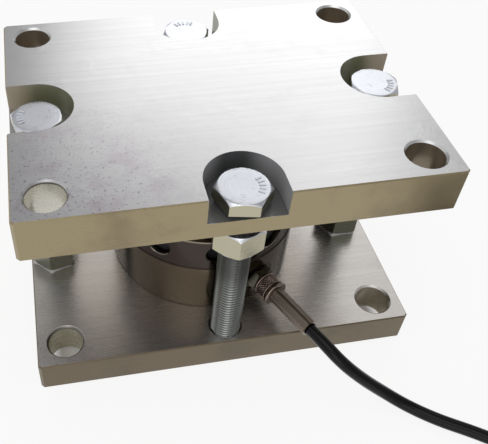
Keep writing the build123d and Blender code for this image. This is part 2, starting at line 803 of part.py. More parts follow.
coil_axis = Axis((coil_center.X, coil_center.Y, 0), (0, 0, 1))
coil_width = coil_columns * cable_diameter
coil_level = coil_bottom + coil_height / 2
entry_seat = cable_diameter + 2 * coil_fit
tail_seat = sleeve_diameter + 2 * coil_fit
with BuildPart() as cable_coil:
    with BuildSketch(coil_section(0)):
        with Locations((coil_mean_radius, coil_level)):
            RectangleRounded(coil_width, coil_height, coil_round)
    revolve(axis=coil_axis)
    with BuildSketch(coil_section(-coil_notch_turn)):
        with Locations((coil_outer_radius - cable_radius, coil_start.Z)):
            Rectangle(entry_seat, entry_seat)
    revolve(axis=coil_axis, revolution_arc=coil_notch_turn, mode=Mode.SUBTRACT)
    with BuildSketch(coil_section(-coil_tail_turn)):
        with Locations((tail_radius, tail_level)):
            Rectangle(tail_seat, tail_seat)
    revolve(axis=coil_axis, revolution_arc=coil_tail_turn, mode=Mode.SUBTRACT)
cable_coil.part.label = "cable_coil"
export_step(cable_coil.part, "parts/cable_coil.step")

with BuildPart() as coil_ties:
    for tie in range(tie_count):
        with BuildSketch(coil_section(tie_first + tie * tie_step)):
            with Locations((coil_mean_radius, coil_level)):
                RectangleRounded(
                    coil_width + 2 * tie_thickness,
                    coil_height + 2 * tie_thickness,
                    coil_round + tie_thickness,
                )
                RectangleRounded(coil_width, coil_height, coil_round, mode=Mode.SUBTRACT)
        revolve(axis=coil_axis, revolution_arc=degrees(tie_width / coil_mean_radius))
coil_ties.part.label = "coil_ties"
export_step(coil_ties.part, "parts/coil_ties.step")

with BuildPart() as cable_sleeve:
    with BuildSketch(coil_section(-coil_tail_turn)):
        with Locations((tail_radius, tail_level)):
            Circle(sleeve_diameter / 2)
    revolve(axis=coil_axis, revolution_arc=degrees(sleeve_length / tail_radius))
cable_sleeve.part.label = "cable_sleeve"
export_step(cable_sleeve.part, "parts/cable_sleeve.step")

with BuildPart() as cable_leads:
    with BuildSketch(coil_section(degrees(sleeve_length / tail_radius) - coil_tail_turn)):
        with Locations((tail_radius, tail_level)):
            with PolarLocations(lead_circle / 2, lead_count):
                Circle(lead_diameter / 2)
    revolve(axis=coil_axis, revolution_arc=degrees(lead_length / tail_radius))
cable_leads.part.label = "cable_leads"
export_step(cable_leads.part, "parts/cable_leads.step")
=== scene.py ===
"""Looks of a load cell weighing module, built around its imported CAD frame."""

import logging
import math
from dataclasses import dataclass
from enum import Enum

import bmesh
import bpy
from mathutils import Matrix, Vector


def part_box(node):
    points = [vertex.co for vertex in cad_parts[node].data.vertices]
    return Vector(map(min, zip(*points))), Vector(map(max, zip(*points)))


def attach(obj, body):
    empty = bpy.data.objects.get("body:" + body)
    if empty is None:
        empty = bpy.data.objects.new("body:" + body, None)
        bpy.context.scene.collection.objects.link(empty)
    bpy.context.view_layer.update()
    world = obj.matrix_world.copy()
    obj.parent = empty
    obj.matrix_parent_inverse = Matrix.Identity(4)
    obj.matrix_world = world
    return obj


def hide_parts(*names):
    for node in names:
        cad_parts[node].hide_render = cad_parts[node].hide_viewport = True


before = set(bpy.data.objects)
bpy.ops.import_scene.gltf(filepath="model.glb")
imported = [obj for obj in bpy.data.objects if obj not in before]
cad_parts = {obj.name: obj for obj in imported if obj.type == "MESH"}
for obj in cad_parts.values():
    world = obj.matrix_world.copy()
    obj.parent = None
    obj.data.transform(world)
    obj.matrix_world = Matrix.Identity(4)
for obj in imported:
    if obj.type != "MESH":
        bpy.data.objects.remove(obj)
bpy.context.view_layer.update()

FULL_TURN = 2 * math.pi
WELD = 1e-6
UPWARD = Vector((0.0, 0.0, 1.0))
LEVEL_PARTS = Vector((1.0, 1.0, 0.0))
ORIGIN = Vector((0.0, 0.0, 0.0))
log = logging.getLogger("weighing_module")

Color = tuple[float, float, float, float]
Span = tuple[float, float]
Clouds = tuple[float, float, float]


def display(red: float, green: float, blue: float) -> Color:
    """Turns a colour as a screen shows it into the linear colour that a shader takes.

    Args:
        red: Red from 0 to 1.
        green: Green from 0 to 1.
        blue: Blue from 0 to 1.

    Returns:
        The linear colour with an alpha of 1.
    """
    shown = (red, green, blue)
    linear = [c / 12.92 if c <= 0.04045 else ((c + 0.055) / 1.055) ** 2.4 for c in shown]
    return (linear[0], linear[1], linear[2], 1.0)


def polar(radius: float, azimuth: float, height: float) -> Vector:
    """Point at a radius, an azimuth counted from the front in degrees, and a height."""
    turned = math.radians(azimuth)
    return Vector((radius * math.sin(turned), -radius * math.cos(turned), height))


def middle(node: str) -> Vector:
    """Middle of a CAD node's box."""
    low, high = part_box(node)
    return (low + high) / 2


def new_object(name: str, data: bpy.types.ID) -> bpy.types.Object:
    """Links a new object that shows a mesh, curve, lamp or camera.

    Args:
        name: Name of the object.
        data: What it shows.

    Returns:
        The object.
    """
    made = bpy.data.objects.new(name, data)
    bpy.context.scene.collection.objects.link(made)
    return made


def seat(piece: bpy.types.Object, body: str, slot: str, *nodes: str) -> bpy.types.Object:
    """Rides a piece on a body in place of CAD nodes.

    Args:
        piece: The piece.
        body: Body that it rides on.
        slot: Material slot of the record; not used.
        nodes: CAD nodes that it replaces.

    Returns:
        The piece.
    """
    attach(piece, body)
    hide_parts(*nodes)
    log.info("built %s in place of %s", piece.name, ", ".join(nodes))
    return piece


# Node trees


@dataclass(frozen=True)
class Signal:
    """Output of a node, for sums and products written as with plain numbers."""

    wiring: "Wiring"
    socket: bpy.types.NodeSocket

    def math(self, operation: str, *others: object) -> "Signal":
        """Result of a Math node that starts with this signal."""
        return self.wiring.math(operation, self, *others)

    def __add__(self, other: object) -> "Signal":
        """Sum."""
        return self.math("ADD", other)

    def __sub__(self, other: object) -> "Signal":
        """Difference."""
        return self.math("SUBTRACT", other)

    def __rsub__(self, other: object) -> "Signal":
        """Difference from a plain number."""
        return self.wiring.math("SUBTRACT", other, self)

    def __mul__(self, other: object) -> "Signal":
        """Product."""
        return self.math("MULTIPLY", other)

    def __truediv__(self, other: object) -> "Signal":
        """Quotient."""
        return self.math("DIVIDE", other)

    def __abs__(self) -> "Signal":
        """Value without its sign."""
        return self.math("ABSOLUTE")

    def at_least(self, other: object) -> "Signal":
        """The greater of two values."""
        return self.math("MAXIMUM", other)

    def at_most(self, other: object) -> "Signal":
        """The lesser of two values."""
        return self.math("MINIMUM", other)

    def span(self, low: float, high: float, to_low: float = 0.0, to_high: float = 1.0) -> "Signal":
        """Smooth step between two values.

        Args:
            low: Value where the step begins.
            high: Value where it ends; it may be the lesser one.
            to_low: Result up to the beginning.
            to_high: Result from the end.

        Returns:
            The step's result.
        """
        block = self.wiring.node(
            "ShaderNodeMapRange", Value=self, From_Min=low, From_Max=high, To_Min=to_low, To_Max=to_high
        )
        block.node.interpolation_type = "SMOOTHSTEP"
        return block[0]

    def parts(self) -> tuple["Signal", "Signal", "Signal"]:
        """X, Y and Z of a vector."""
        block = self.wiring.node("ShaderNodeSeparateXYZ", self)
        return block["X"], block["Y"], block["Z"]

    def vector(self, operation: str, *others: object) -> "Signal":
        """Result of a Vector Math node that starts with this vector."""
        return self.wiring.node("ShaderNodeVectorMath", self, *others, operation=operation)[0]

    def measure(self, operation: str, *others: object) -> "Signal":
        """Plain number that a Vector Math node makes of this vector."""
        return self.wiring.node("ShaderNodeVectorMath", self, *others, operation=operation)["Value"]


@dataclass(frozen=True)
class Block:
    """A node with its outputs as signals."""

    wiring: "Wiring"
    node: bpy.types.Node

    def __getitem__(self, output: str | int) -> Signal:
        """One output, by name or number."""
        return Signal(self.wiring, self.node.outputs[output])


class Wiring:
    """Adds nodes to an empty node tree and links them."""

    def __init__(self, tree: bpy.types.NodeTree) -> None:
        """Empties the tree."""
        self.tree = tree
        tree.nodes.clear()

    def put(self, value: object, socket: bpy.types.NodeSocket) -> None:
        """Links a socket to a signal, or sets it to a plain value.

        Args:
            value: The signal or the plain value.
            socket: Input that takes it.
        """
        if isinstance(value, Signal):
            self.tree.links.new(value.socket, socket)
        else:
            socket.default_value = value

    def node(self, kind: str, *values: object, operation: str = "", **named: object) -> Block:
        """Adds a node.

        Args:
            kind: Type of the node.
            values: Values of its first inputs.
            operation: The node's operation, where it has one.
            named: Inputs by name, with underscores for spaces.

        Returns:
            The node's block.
        """
        node = self.tree.nodes.new(kind)
        if operation:
            node.operation = operation
        for value, socket in zip(values, node.inputs):
            self.put(value, socket)
        for name, value in named.items():
            self.put(value, node.inputs[name.replace("_", " ")])
        return Block(self, node)

    def math(self, operation: str, *values: object) -> Signal:
        """Result of a Math node."""
        return self.node("ShaderNodeMath", *values, operation=operation)[0]

    def noise(self, vector: Signal, scale: object, detail: float, roughness: float = 0.5) -> Signal:
        """Value of a Noise Texture.

        Args:
            vector: Where the noise is looked up.
            scale: Waves per metre.
            detail: Octaves of finer noise.
            roughness: Weight of the finer octaves.

        Returns:
            The noise, 0 to 1.
        """
        return self.node(
            "ShaderNodeTexNoise", Vector=vector, Scale=scale, Detail=detail, Roughness=roughness
        )[0]

    def group(self, tree: bpy.types.NodeTree, **named: object) -> Block:
        """Adds a node group.

        Args:
            tree: The group's tree.
            named: Its inputs by name.

        Returns:
            The group's block.
        """
        node = self.tree.nodes.new("ShaderNodeGroup")
        node.node_tree = tree
        for name, value in named.items():
            self.put(value, node.inputs[name])
        return Block(self, node)

    def add_socket(self, label: str, side: str, kind: str, default: object = None) -> str:
        """Adds a socket to a node group.

        Args:
            label: Name of the socket.
            side: INPUT or OUTPUT.
            kind: Float, Vector, Geometry or Material.
            default: Default value, where it has one.

        Returns:
            The socket's identifier.
        """
        socket = self.tree.interface.new_socket(name=label, in_out=side, socket_type=f"NodeSocket{kind}")
        if default is not None:
            socket.default_value = default
        return socket.identifier


# Camera, light and floor


@dataclass(frozen=True)
class PhotoCamera:
    """Camera that sees the module as the photograph does, in metres and degrees."""

    azimuth: float = -11.135
    elevation: float = 44.567
    roll: float = 1.486
    aside: float = -0.02335
    above: float = -0.05012
    distance: float = 0.34513
    aim_height: float = 0.1265
    focal_pixels: float = 700.25
    center_across: float = 164.4
    center_down: float = 192.2
    frame_width: int = 488
    frame_height: int = 444
    sensor_width: float = 36.0

    def axes(self) -> tuple[Vector, Vector, Vector]:
        """Right, up and backward directions of the camera.

        Returns:
            The three directions, each of length 1.
        """
        turned, tilt = math.radians(self.azimuth), math.radians(self.elevation)
        back = Vector(
            (math.sin(turned) * math.cos(tilt), -math.cos(turned) * math.cos(tilt), math.sin(tilt))
        )
        level = UPWARD.cross(back).normalized()
        rise = back.cross(level)
        cosine, sine = math.cos(math.radians(self.roll)), math.sin(math.radians(self.roll))
        return level * cosine + rise * sine, rise * cosine - level * sine, back

    def build(self) -> bpy.types.Object:
        """Makes the camera and sets it as the scene's own.

        Returns:
            The camera object.
        """
        right, up, back = self.axes()
        place = right * self.aside + up * self.above + back * self.distance
        place.z += self.aim_height
        lens = bpy.data.cameras.new("photo_camera")
        lens.sensor_width = self.sensor_width
        lens.sensor_fit = "HORIZONTAL"
        lens.lens = self.focal_pixels / self.frame_width * self.sensor_width
        lens.shift_x = (self.frame_width / 2 - self.center_across) / self.frame_width
        lens.shift_y = (self.center_down - self.frame_height / 2) / self.frame_width
        lens.clip_start = 0.01
        camera = new_object("photo_camera", lens)
        turn = Matrix((right, up, back)).transposed().to_4x4()
        camera.matrix_world = Matrix.Translation(place) @ turn
        bpy.context.scene.camera = camera
        return camera


@dataclass(frozen=True)
class SoftBox:
    """A square area lamp that looks at the middle of the module."""

    name: str
    azimuth: float
    elevation: float
    distance: float
    size: float
    power: float
    aim_height: float = 0.07
    mirrored: bool = True

    def build(self) -> bpy.types.Object:
        """Makes the lamp.

        Returns:
            The lamp object.
        """
        lamp = bpy.data.lights.new(self.name, "AREA")
        lamp.shape = "SQUARE"
        lamp.size = self.size
        lamp.energy = self.power
        tilt = math.radians(self.elevation)
        aim = UPWARD * self.aim_height
        away = polar(math.cos(tilt), self.azimuth, math.sin(tilt))
        turn = away.to_track_quat("Z", "Y").to_matrix().to_4x4()
        box = new_object(self.name, lamp)
        box.matrix_world = Matrix.Translation(aim + away * self.distance) @ turn
        box.visible_glossy = self.mirrored
        return box


@dataclass(frozen=True)
class Glow:
    """Bright patch of the mirrored studio, strongest where a ray points along its axis."""

    axis: Vector
    edge: Span
    gain: float

    def seen(self, direction: Signal, floor: float = 0.0) -> Signal:
        """Strength of the patch in a direction, above the strength of the wall."""
        along = direction.measure("DOT_PRODUCT", self.axis.normalized())
        return along.span(*self.edge, floor, floor + self.gain)


@dataclass(frozen=True)
class Studio:
    """Pale floor, white surroundings and soft lamps."""

    floor_size: float = 6.0
    floor_color: Color = display(0.96, 0.96, 0.955)
    floor_white: float = 0.88
    footprint: Vector = Vector((0.100, 0.075, 0.0))
    contact_shade: Span = (-0.012, -0.002)
    bright_side: Vector = Vector((0.30, 0.80, 0.52))
    bright_edge: Span = (-0.3, 1.0)
    bright_range: Span = (0.42, 0.98)
    mirrored_wall: float = 0.40
    window_gain: float = 1.10
    window_turn: float = 18.0
    window_edge: Span = (-0.31, -0.15)
    window_top: Span = (0.77, 0.46)
    far_edge: Span = (0.20, 0.32)
    far_left: float = 0.1
    side_window: Glow = Glow(Vector((0.41, 0.46, 0.79)), (0.952, 0.996), 0.62)
    ceiling: Glow = Glow(Vector((-0.16, -0.30, 0.94)), (0.90, 0.985), 1.0)
    back_wall: Glow = Glow(Vector((-0.75, -0.55, 0.34)), (-0.10, 0.60), 0.42)

    def paper(self) -> bpy.types.Material:
        """Builds the floor's material, which is white to the camera and in mirrors beside the module.

        Returns:
            The material.
        """
        material = bpy.data.materials.new("floor_paper")
        material.use_nodes = True
        wires = Wiring(material.node_tree)
        path = wires.node("ShaderNodeLightPath")
        shown = path["Is Camera Ray"].at_least(path["Is Glossy Ray"])
        place = wires.node("ShaderNodeTexCoord")["Object"]
        past_x, past_y, _ = place.vector("ABSOLUTE").vector("SUBTRACT", self.footprint).parts()
        start, end = self.contact_shade
        beside = wires.node("ShaderNodeMapRange", past_x.at_least(past_y), start, end)[0]
        diffuse = wires.node("ShaderNodeBsdfDiffuse", self.floor_color)[0]
        glow = wires.node("ShaderNodeEmission")[0]
        mix = wires.node("ShaderNodeMixShader", shown * beside * self.floor_white, diffuse, glow)
        wires.node("ShaderNodeOutputMaterial", Surface=mix[0])
        return material

    def floor(self) -> bpy.types.Object:
        """Makes the floor at the object's lowest level.

        Returns:
            The floor object.
        """
        half = self.floor_size / 2
        mesh = bpy.data.meshes.new("floor")
        corners = [(-half, -half, 0), (half, -half, 0), (half, half, 0), (-half, half, 0)]
        mesh.from_pydata(corners, [], [(0, 1, 2, 3)])
        mesh.materials.append(self.paper())
        floor = new_object("floor", mesh)
        return floor

    def surroundings(self) -> bpy.types.World:
        """Makes the world: white to the camera, with windows and dimmer walls in reflections.

        Returns:
            The scene's world.
        """
        world = bpy.data.worlds.new("studio")
        world.use_nodes = True
        wires = Wiring(world.node_tree)
        direction = wires.node("ShaderNodeTexCoord")["Generated"]
        turned = math.radians(self.window_turn)
        across = Vector((math.cos(turned), -math.sin(turned), 0.0))
        place = direction.measure("DOT_PRODUCT", across)
        window = place.span(*self.window_edge) * place.span(*self.far_edge, 1.0, self.far_left)
        window = window * direction.measure("DOT_PRODUCT", UPWARD).span(*self.window_top)
        near = window * self.window_gain + self.side_window.seen(direction)
        far = self.ceiling.seen(direction) + self.back_wall.seen(direction, self.mirrored_wall)
        bright = direction.measure("DOT_PRODUCT", self.bright_side.normalized())
        lit = bright.span(*self.bright_edge, *self.bright_range)

        path = wires.node("ShaderNodeLightPath")
        shown = path["Is Camera Ray"].at_least(path["Is Transmission Ray"])
        glossy = path["Is Glossy Ray"]
        strength = (near + far) * glossy + lit * (1.0 - glossy)
        strength = shown.at_least(strength * (1.0 - shown))
        wall = wires.node("ShaderNodeBackground", Strength=strength)
        wires.node("ShaderNodeOutputWorld", Surface=wall[0])
        bpy.context.scene.world = world
        return world

    def build(self) -> None:
        """Makes the floor, the world and the lamps, and sets the plain view transform."""
        bpy.context.scene.view_settings.view_transform = "Standard"
        self.floor()
        self.surroundings()
        SoftBox("window_light", 164.0, 34.0, distance=1.3, size=0.8, power=0.7).build()
        SoftBox("fill_light", -50.0, 60.0, distance=1.4, size=1.2, power=4.0, mirrored=False).build()


# Shared effects


class EffectGroup(Wiring):
    """A shader node group with named inputs, built once and used by several finishes."""

    def __init__(self, name: str, inputs: dict[str, object], *outputs: str) -> None:
        """Makes the group's sockets.

        Args:
            name: Name of the group.
            inputs: Default value of each input; a vector's default is None.
            outputs: Names of the outputs, all plain values.
        """
        super().__init__(bpy.data.node_groups.new(name, "ShaderNodeTree"))
        for label, default in inputs.items():
            self.add_socket(label, "INPUT", "Vector" if default is None else "Float", default)
        for label in outputs:
            self.add_socket(label, "OUTPUT", "Float")
        self.given = self.node("NodeGroupInput")
        self.result = self.tree.nodes.new("NodeGroupOutput").inputs


def grain_group() -> bpy.types.NodeTree:
    """Brushed grain: fine lines that run along one axis.

    Returns:
        A group with a Vector, line counts per metre, and outputs for fine Streaks and wide Lanes.
    """
    inputs = {"Vector": None, "Across": 1800.0, "Along": 25.0, "Lane": 120.0}
    effect = EffectGroup("brushed_grain", inputs, "Streaks", "Lanes")
    x, y, z = effect.given["Vector"].parts()
    for across, output, detail in (("Across", "Streaks", 3.0), ("Lane", "Lanes", 2.0)):
        count = effect.given[across]
        point = effect.node("ShaderNodeCombineXYZ", x * effect.given["Along"], y * count, z * count)
        effect.put(effect.noise(point[0], 1.0, detail), effect.result[output])
    return effect.tree


def blotch_group() -> bpy.types.NodeTree:
    """Cloudy stains with ragged borders.

    Returns:
        A group with a Vector, a Scale, a Cover share, a Border width and a Mask output.
    """
    inputs = {"Vector": None, "Scale": 60.0, "Cover": 0.5, "Border": 0.1}
    effect = EffectGroup("cloudy_stains", inputs, "Mask")
    given = effect.given
    cloud = effect.noise(given["Vector"], given["Scale"], 6.0, 0.62)
    start = 1.0 - given["Cover"]
    effect.put(cloud.span(start, start + given["Border"]), effect.result["Mask"])
    return effect.tree


def lathe_group() -> bpy.types.NodeTree:
    """Fine turning lines round the vertical axis.

    Returns:
        A group with a Vector, the Lines per metre and a Rings output.
    """
    effect = EffectGroup("turning_lines", {"Vector": None, "Lines": 1500.0}, "Rings")
    given = effect.given
    level = given["Vector"].parts()[2]
    radius = given["Vector"].vector("MULTIPLY", LEVEL_PARTS).measure("LENGTH")
    point = effect.node("ShaderNodeCombineXYZ", Y=radius, Z=level)
    effect.put(effect.noise(point[0], given["Lines"], 3.0), effect.result["Rings"])
    return effect.tree


class Effects:
    """The shared shader groups, each built once."""

    grain = grain_group()
    blotch = blotch_group()
    rings = lathe_group()


class Shader(Wiring):
    """Node tree of one material with its Principled BSDF."""

    def __init__(self, name: str, color: Color, metallic: float, roughness: float) -> None:
        """Makes the material.

        Args:
            name: Name of the material.
            color: Base colour where nothing is linked to it.
            metallic: 1 for bare metal, 0 for the rest.
            roughness: Roughness where nothing is linked to it.
        """
        self.material = bpy.data.materials.new(name)
        self.material.use_nodes = True
        super().__init__(self.material.node_tree)
        surface = self.node(
            "ShaderNodeBsdfPrincipled", Base_Color=color, Metallic=metallic, Roughness=roughness
        )
        self.surface = surface.node.inputs
        self.node("ShaderNodeOutputMaterial", Surface=surface[0])
        place = self.node("ShaderNodeTexCoord")
        self.position = place["Object"]
        self.facing = place["Normal"].parts()[2]
        self.x, self.y, self.z = self.position.parts()

    def mix(self, factor: object, first: object, second: object) -> Signal:
        """Mixes two colours or two vectors.

        Args:
            factor: Share of the second one.
            first: What shows at a share of 0.
            second: What shows at a share of 1.

        Returns:
            The mixture.
        """
        node = self.tree.nodes.new("ShaderNodeMix")
        node.data_type = "RGBA"
        for value, index in ((factor, 0), (first, 6), (second, 7)):
            self.put(value, node.inputs[index])
        return Signal(self, node.outputs[2])

    def from_nearest(self, first: Vector, second: Vector) -> Signal:
        """Place beside the nearest of mirrored upright axes.

        Args:
            first: Place of one axis, with its mirror image on the other side.
            second: Place of the other axis, with its mirror image.

        Returns:
            The position from that axis, with X and Y folded to one quarter and no height.
        """
        folded = self.position.vector("MULTIPLY", LEVEL_PARTS).vector("ABSOLUTE")
        near_first = folded.measure("DISTANCE", first).math("LESS_THAN", folded.measure("DISTANCE", second))
        return folded.vector("SUBTRACT", self.mix(near_first, (*second, 1.0), (*first, 1.0)))

    def stains(self, clouds: Clouds, vector: Signal | None = None) -> Signal:
        """Mask of cloudy stains.

        Args:
            clouds: Clouds per metre, the share that they cover, and the width of their ragged borders.
            vector: Where the clouds are looked up, if not at the position.

        Returns:
            The mask.
        """
        scale, cover, border = clouds
        place = self.position if vector is None else vector
        return self.group(Effects.blotch, Vector=place, Scale=scale, Cover=cover, Border=border)[0]

    def turned(self, lines: float, vector: Signal | None = None) -> Signal:
        """Height of fine turning lines round the axis of a vector, or of the module."""
        place = self.position if vector is None else vector
        return self.group(Effects.rings, Vector=place, Lines=lines)[0]

    def finish(
        self, color: Signal, rough: Signal, height: Signal, depth: float, strength: float = 1.0
    ) -> bpy.types.Material:
        """Feeds colour, roughness and a bumped normal into the surface.

        Args:
            color: Base colour.
            rough: Roughness.
            height: Height of the fine relief.
            depth: Depth of the relief in metres.
            strength: Share of the relief that shows.

        Returns:
            The finished material.
        """
        self.put(color, self.surface["Base Color"])
        self.put(rough, self.surface["Roughness"])
        bump = self.node("ShaderNodeBump", Strength=strength, Distance=depth, Height=height)
        self.put(bump[0], self.surface["Normal"])
        return self.material


# Finishes


@dataclass(frozen=True)
class PlateFinish:
    """Ground and plated steel plate: brushed faces; milled sides painted darker and warmer, partly their
    finish and partly painted reflection; darker hole walls, one painted pale with light; painted shade and
    highlights in the pockets.
    """

    face: Color = display(0.89, 0.89, 0.89)
    face_dark: Color = display(0.82, 0.82, 0.83)
    # Upright sides: a milled finish, painted darker and warmer than the faces as a painted reflection of the
    # surroundings they face.
    side: Color = display(0.64, 0.585, 0.46)
    side_dark: Color = display(0.56, 0.505, 0.40)
    under: Color = display(0.86, 0.84, 0.81)
    face_edge: tuple[Span, Span] = ((0.0990, 0.0985), (0.0740, 0.0735))
    stain: Color = display(0.50, 0.475, 0.53)
    tint: Color = display(0.78, 0.73, 0.755)
    stain_corner: Vector = Vector((-0.102, -0.080, 0.1265))
    stain_edge: Span = (0.120, 0.02)
    stain_dullness: float = 0.14
    hole: Color = display(0.58, 0.53, 0.46)
    # Painted light: the pale wall of the front-left hole.
    hole_painted_light: Color = display(0.90, 0.89, 0.85)
    hole_place: Span = (0.085, 0.061)
    hole_edge: Span = (0.0125, 0.0115)
    painted_light_hole: Vector = Vector((-0.085, -0.061, 0.12))
    painted_light_edge: Span = (0.026, 0.024)
    ring: Span = (0.1246, 0.1258)
    ring_fade: Span = (0.0003, -0.0002)
    ring_color: Color = display(0.34, 0.32, 0.28)
    ring_share: float = 0.85
    # Pocket colours are painted light and shade: darker walls and front floor, lighter open ends, and painted
    # highlight streaks.
    pocket_painted_shade: Color = display(0.52, 0.52, 0.42)
    pocket_end_painted_light: Color = display(0.72, 0.67, 0.59)
    pocket_front_painted_shade: Color = display(0.37, 0.375, 0.38)
    pocket_painted_highlight: Color = display(0.86, 0.86, 0.87)
    pocket_floor_painted_shade: Color = display(0.46, 0.465, 0.46)
    pocket_level: float = 0.1125
    pocket_foot: Span = (-0.0004, -0.0002)
    pocket_floor: Span = (0.0008, 0.0004)
    pocket_border: tuple[Span, Span] = ((0.0999, 0.0998), (0.0749, 0.0748))
    pocket_edge: Span = (0.0190, 0.0187)
    pocket_end_edge: Span = (0.084, 0.096)
    pocket_front_edge: Span = (-0.030, -0.045)
    pocket_lit_edge: Span = (0.004, 0.014)
    streaks: Clouds = (120.0, 0.48, 0.25)
    streak_stretch: Vector = Vector((1.0, 1.0, 0.02))
    streak_range: Span = (0.42, 1.0)
    has_pockets: bool = False
    brush_lines: float = 5200.0
    brush_stretch: float = 7.0
    lane_lines: float = 420.0
    brush_share: float = 0.6
    lane_share: float = 0.4
    tone_edge: Span = (0.35, 0.65)
    tone_range: Span = (0.3, 0.0)
    broken_edge: Span = (0.95, 0.85)
    side_edge: Span = (0.5, 0.3)
    under_edge: Span = (-0.5, -0.8)
    haze: Clouds = (48.0, 0.50, 0.40)
    haze_share: float = 0.80
    tint_clouds: Clouds = (60.0, 0.55, 0.35)
    stain_spots: Clouds = (640.0, 0.48, 0.22)
    stain_range: Span = (0.25, 0.95)
    side_clouds: Clouds = (22.0, 0.55, 0.25)
    waves: Clouds = (40.0, 0.5, 0.5)
    metallic: float = 1.0
    side_matt: float = 0.35
    pocket_metal: float = 0.30
    hole_metal: float = 0.45
    roughness: float = 0.22
    rough_edge: Span = (0.3, 0.7)
    rough_lift: float = 0.03
    brush_depth: float = 0.000004
    wave_depth: float = 0.00012

    def material(self, name: str) -> bpy.types.Material:
        """Builds the material.

        Args:
            name: Name of the material.

        Returns:
            The plate's material.
        """
        shader = Shader(name, self.face, 1.0, self.roughness)
        counts = {"Across": self.brush_lines, "Along": self.brush_stretch, "Lane": self.lane_lines}
        grain = shader.group(Effects.grain, Vector=shader.position, **counts)
        tone = grain["Streaks"] * self.brush_share + grain["Lanes"] * self.lane_share
        upright = abs(shader.facing)
        broken = upright.span(*self.broken_edge) * (1.0 - self.within(shader, self.face_edge))
        is_side = upright.span(*self.side_edge).at_least(broken)

        face = shader.mix(tone.span(*self.tone_edge, *self.tone_range), self.face, self.face_dark)
        face = shader.mix(shader.stains(self.haze) * self.haze_share, face, self.face_dark)
        face = shader.mix(shader.facing.span(*self.under_edge), face, self.under)
        near = shader.position.measure("DISTANCE", self.stain_corner).span(*self.stain_edge)
        face = shader.mix(near * shader.stains(self.tint_clouds), face, self.tint)
        stained = near * shader.stains(self.stain_spots).span(0.0, 1.0, *self.stain_range)
        face = shader.mix(stained, face, self.stain)
        # Painted reflection: upright faces take the darker, warmer side colour.
        side = shader.mix(shader.stains(self.side_clouds), self.side, self.side_dark)
        color = shader.mix(is_side, face, side)

        color, walls = self.hole_walls(shader, color, is_side)
        metal = self.metallic - is_side * self.side_matt
        metal = metal - walls * (1.0 - self.hole_metal - self.side_matt)
        if self.has_pockets:
            color, walls = self.pocket_walls(shader, color, is_side)
            metal = (metal - walls * (1.0 - self.pocket_metal)).at_least(0.0)
        shader.put(metal, shader.surface["Metallic"])
        rough = tone.span(*self.rough_edge, self.roughness + self.rough_lift, self.roughness)
        rough = rough + stained * self.stain_dullness
        wave = shader.stains(self.waves) * self.wave_depth
        return shader.finish(color, rough, grain["Streaks"] * self.brush_depth + wave, 1.0)

    def within(self, shader: Shader, edges: tuple[Span, Span]) -> Signal:
        """Mask of the places nearer to the middle than an edge on each axis."""
        return abs(shader.x).span(*edges[0]) * abs(shader.y).span(*edges[1])

    def hole_walls(self, shader: Shader, color: Signal, is_side: Signal) -> tuple[Signal, Signal]:
        """Colours the walls of the four corner holes, painting one of them pale with light.

        Args:
            shader: The plate's shader.
            color: Colour without the holes.
            is_side: Mask of the upright faces.

        Returns:
            The colour with brownish hole walls, one of them painted pale with light and a darker band along
            its top, and the walls' mask.
        """
        aside = abs(abs(shader.x) - self.hole_place[0]).span(*self.hole_edge)
        ahead = abs(abs(shader.y) - self.hole_place[1]).span(*self.hole_edge)
        wall = aside * ahead * is_side
        # Painted light: the front-left hole's wall is painted pale, as lit from the front.
        pale = shader.position.measure("DISTANCE", self.painted_light_hole).span(*self.painted_light_edge)
        color = shader.mix(wall, color, shader.mix(pale, self.hole, self.hole_painted_light))
        # A darker band along the top of that pale wall.
        start, end = self.ring
        rise, fall = self.ring_fade
        ring = shader.z.span(start, start + rise) * shader.z.span(end, end + fall)
        ring = aside * ahead * ring * pale
        return shader.mix(ring * self.ring_share, color, self.ring_color), wall

    def pocket_walls(self, shader: Shader, color: Signal, is_side: Signal) -> tuple[Signal, Signal]:
        """Paints shade onto the milled walls and floors of the bolt pockets, with painted highlights on the
        front walls and painted light towards the side pockets' open ends.

        Args:
            shader: The plate's shader.
            color: Colour without the pockets.
            is_side: Mask of the upright faces.

        Returns:
            The colour with painted shade and highlights in the pockets, and the pockets' mask.
        """
        across = abs(shader.x)
        cross = across.span(*self.pocket_edge).at_least(abs(shader.y).span(*self.pocket_edge))
        inside = self.within(shader, self.pocket_border) * cross
        above = shader.z.span(*(self.pocket_level + step for step in self.pocket_foot))
        low = shader.z.span(*(self.pocket_level + step for step in self.pocket_floor))
        wall = inside * above * is_side
        in_front = shader.y.span(*self.pocket_front_edge)
        upright = shader.position.vector("MULTIPLY", self.streak_stretch)
        streaks = shader.stains(self.streaks, upright).span(0.0, 1.0, *self.streak_range)
        # Painted highlight streaks on the front pocket's walls beside the head.
        front = shader.mix(streaks * across.span(*self.pocket_lit_edge), self.pocket_front_painted_shade, self.pocket_painted_highlight)
        side = shader.mix(across.span(*self.pocket_end_edge), self.pocket_painted_shade, self.pocket_end_painted_light)
        color = shader.mix(wall, color, shader.mix(in_front, side, front))
        floor = above * low * inside * in_front
        return shader.mix(floor, color, self.pocket_floor_painted_shade), wall.at_least(floor)


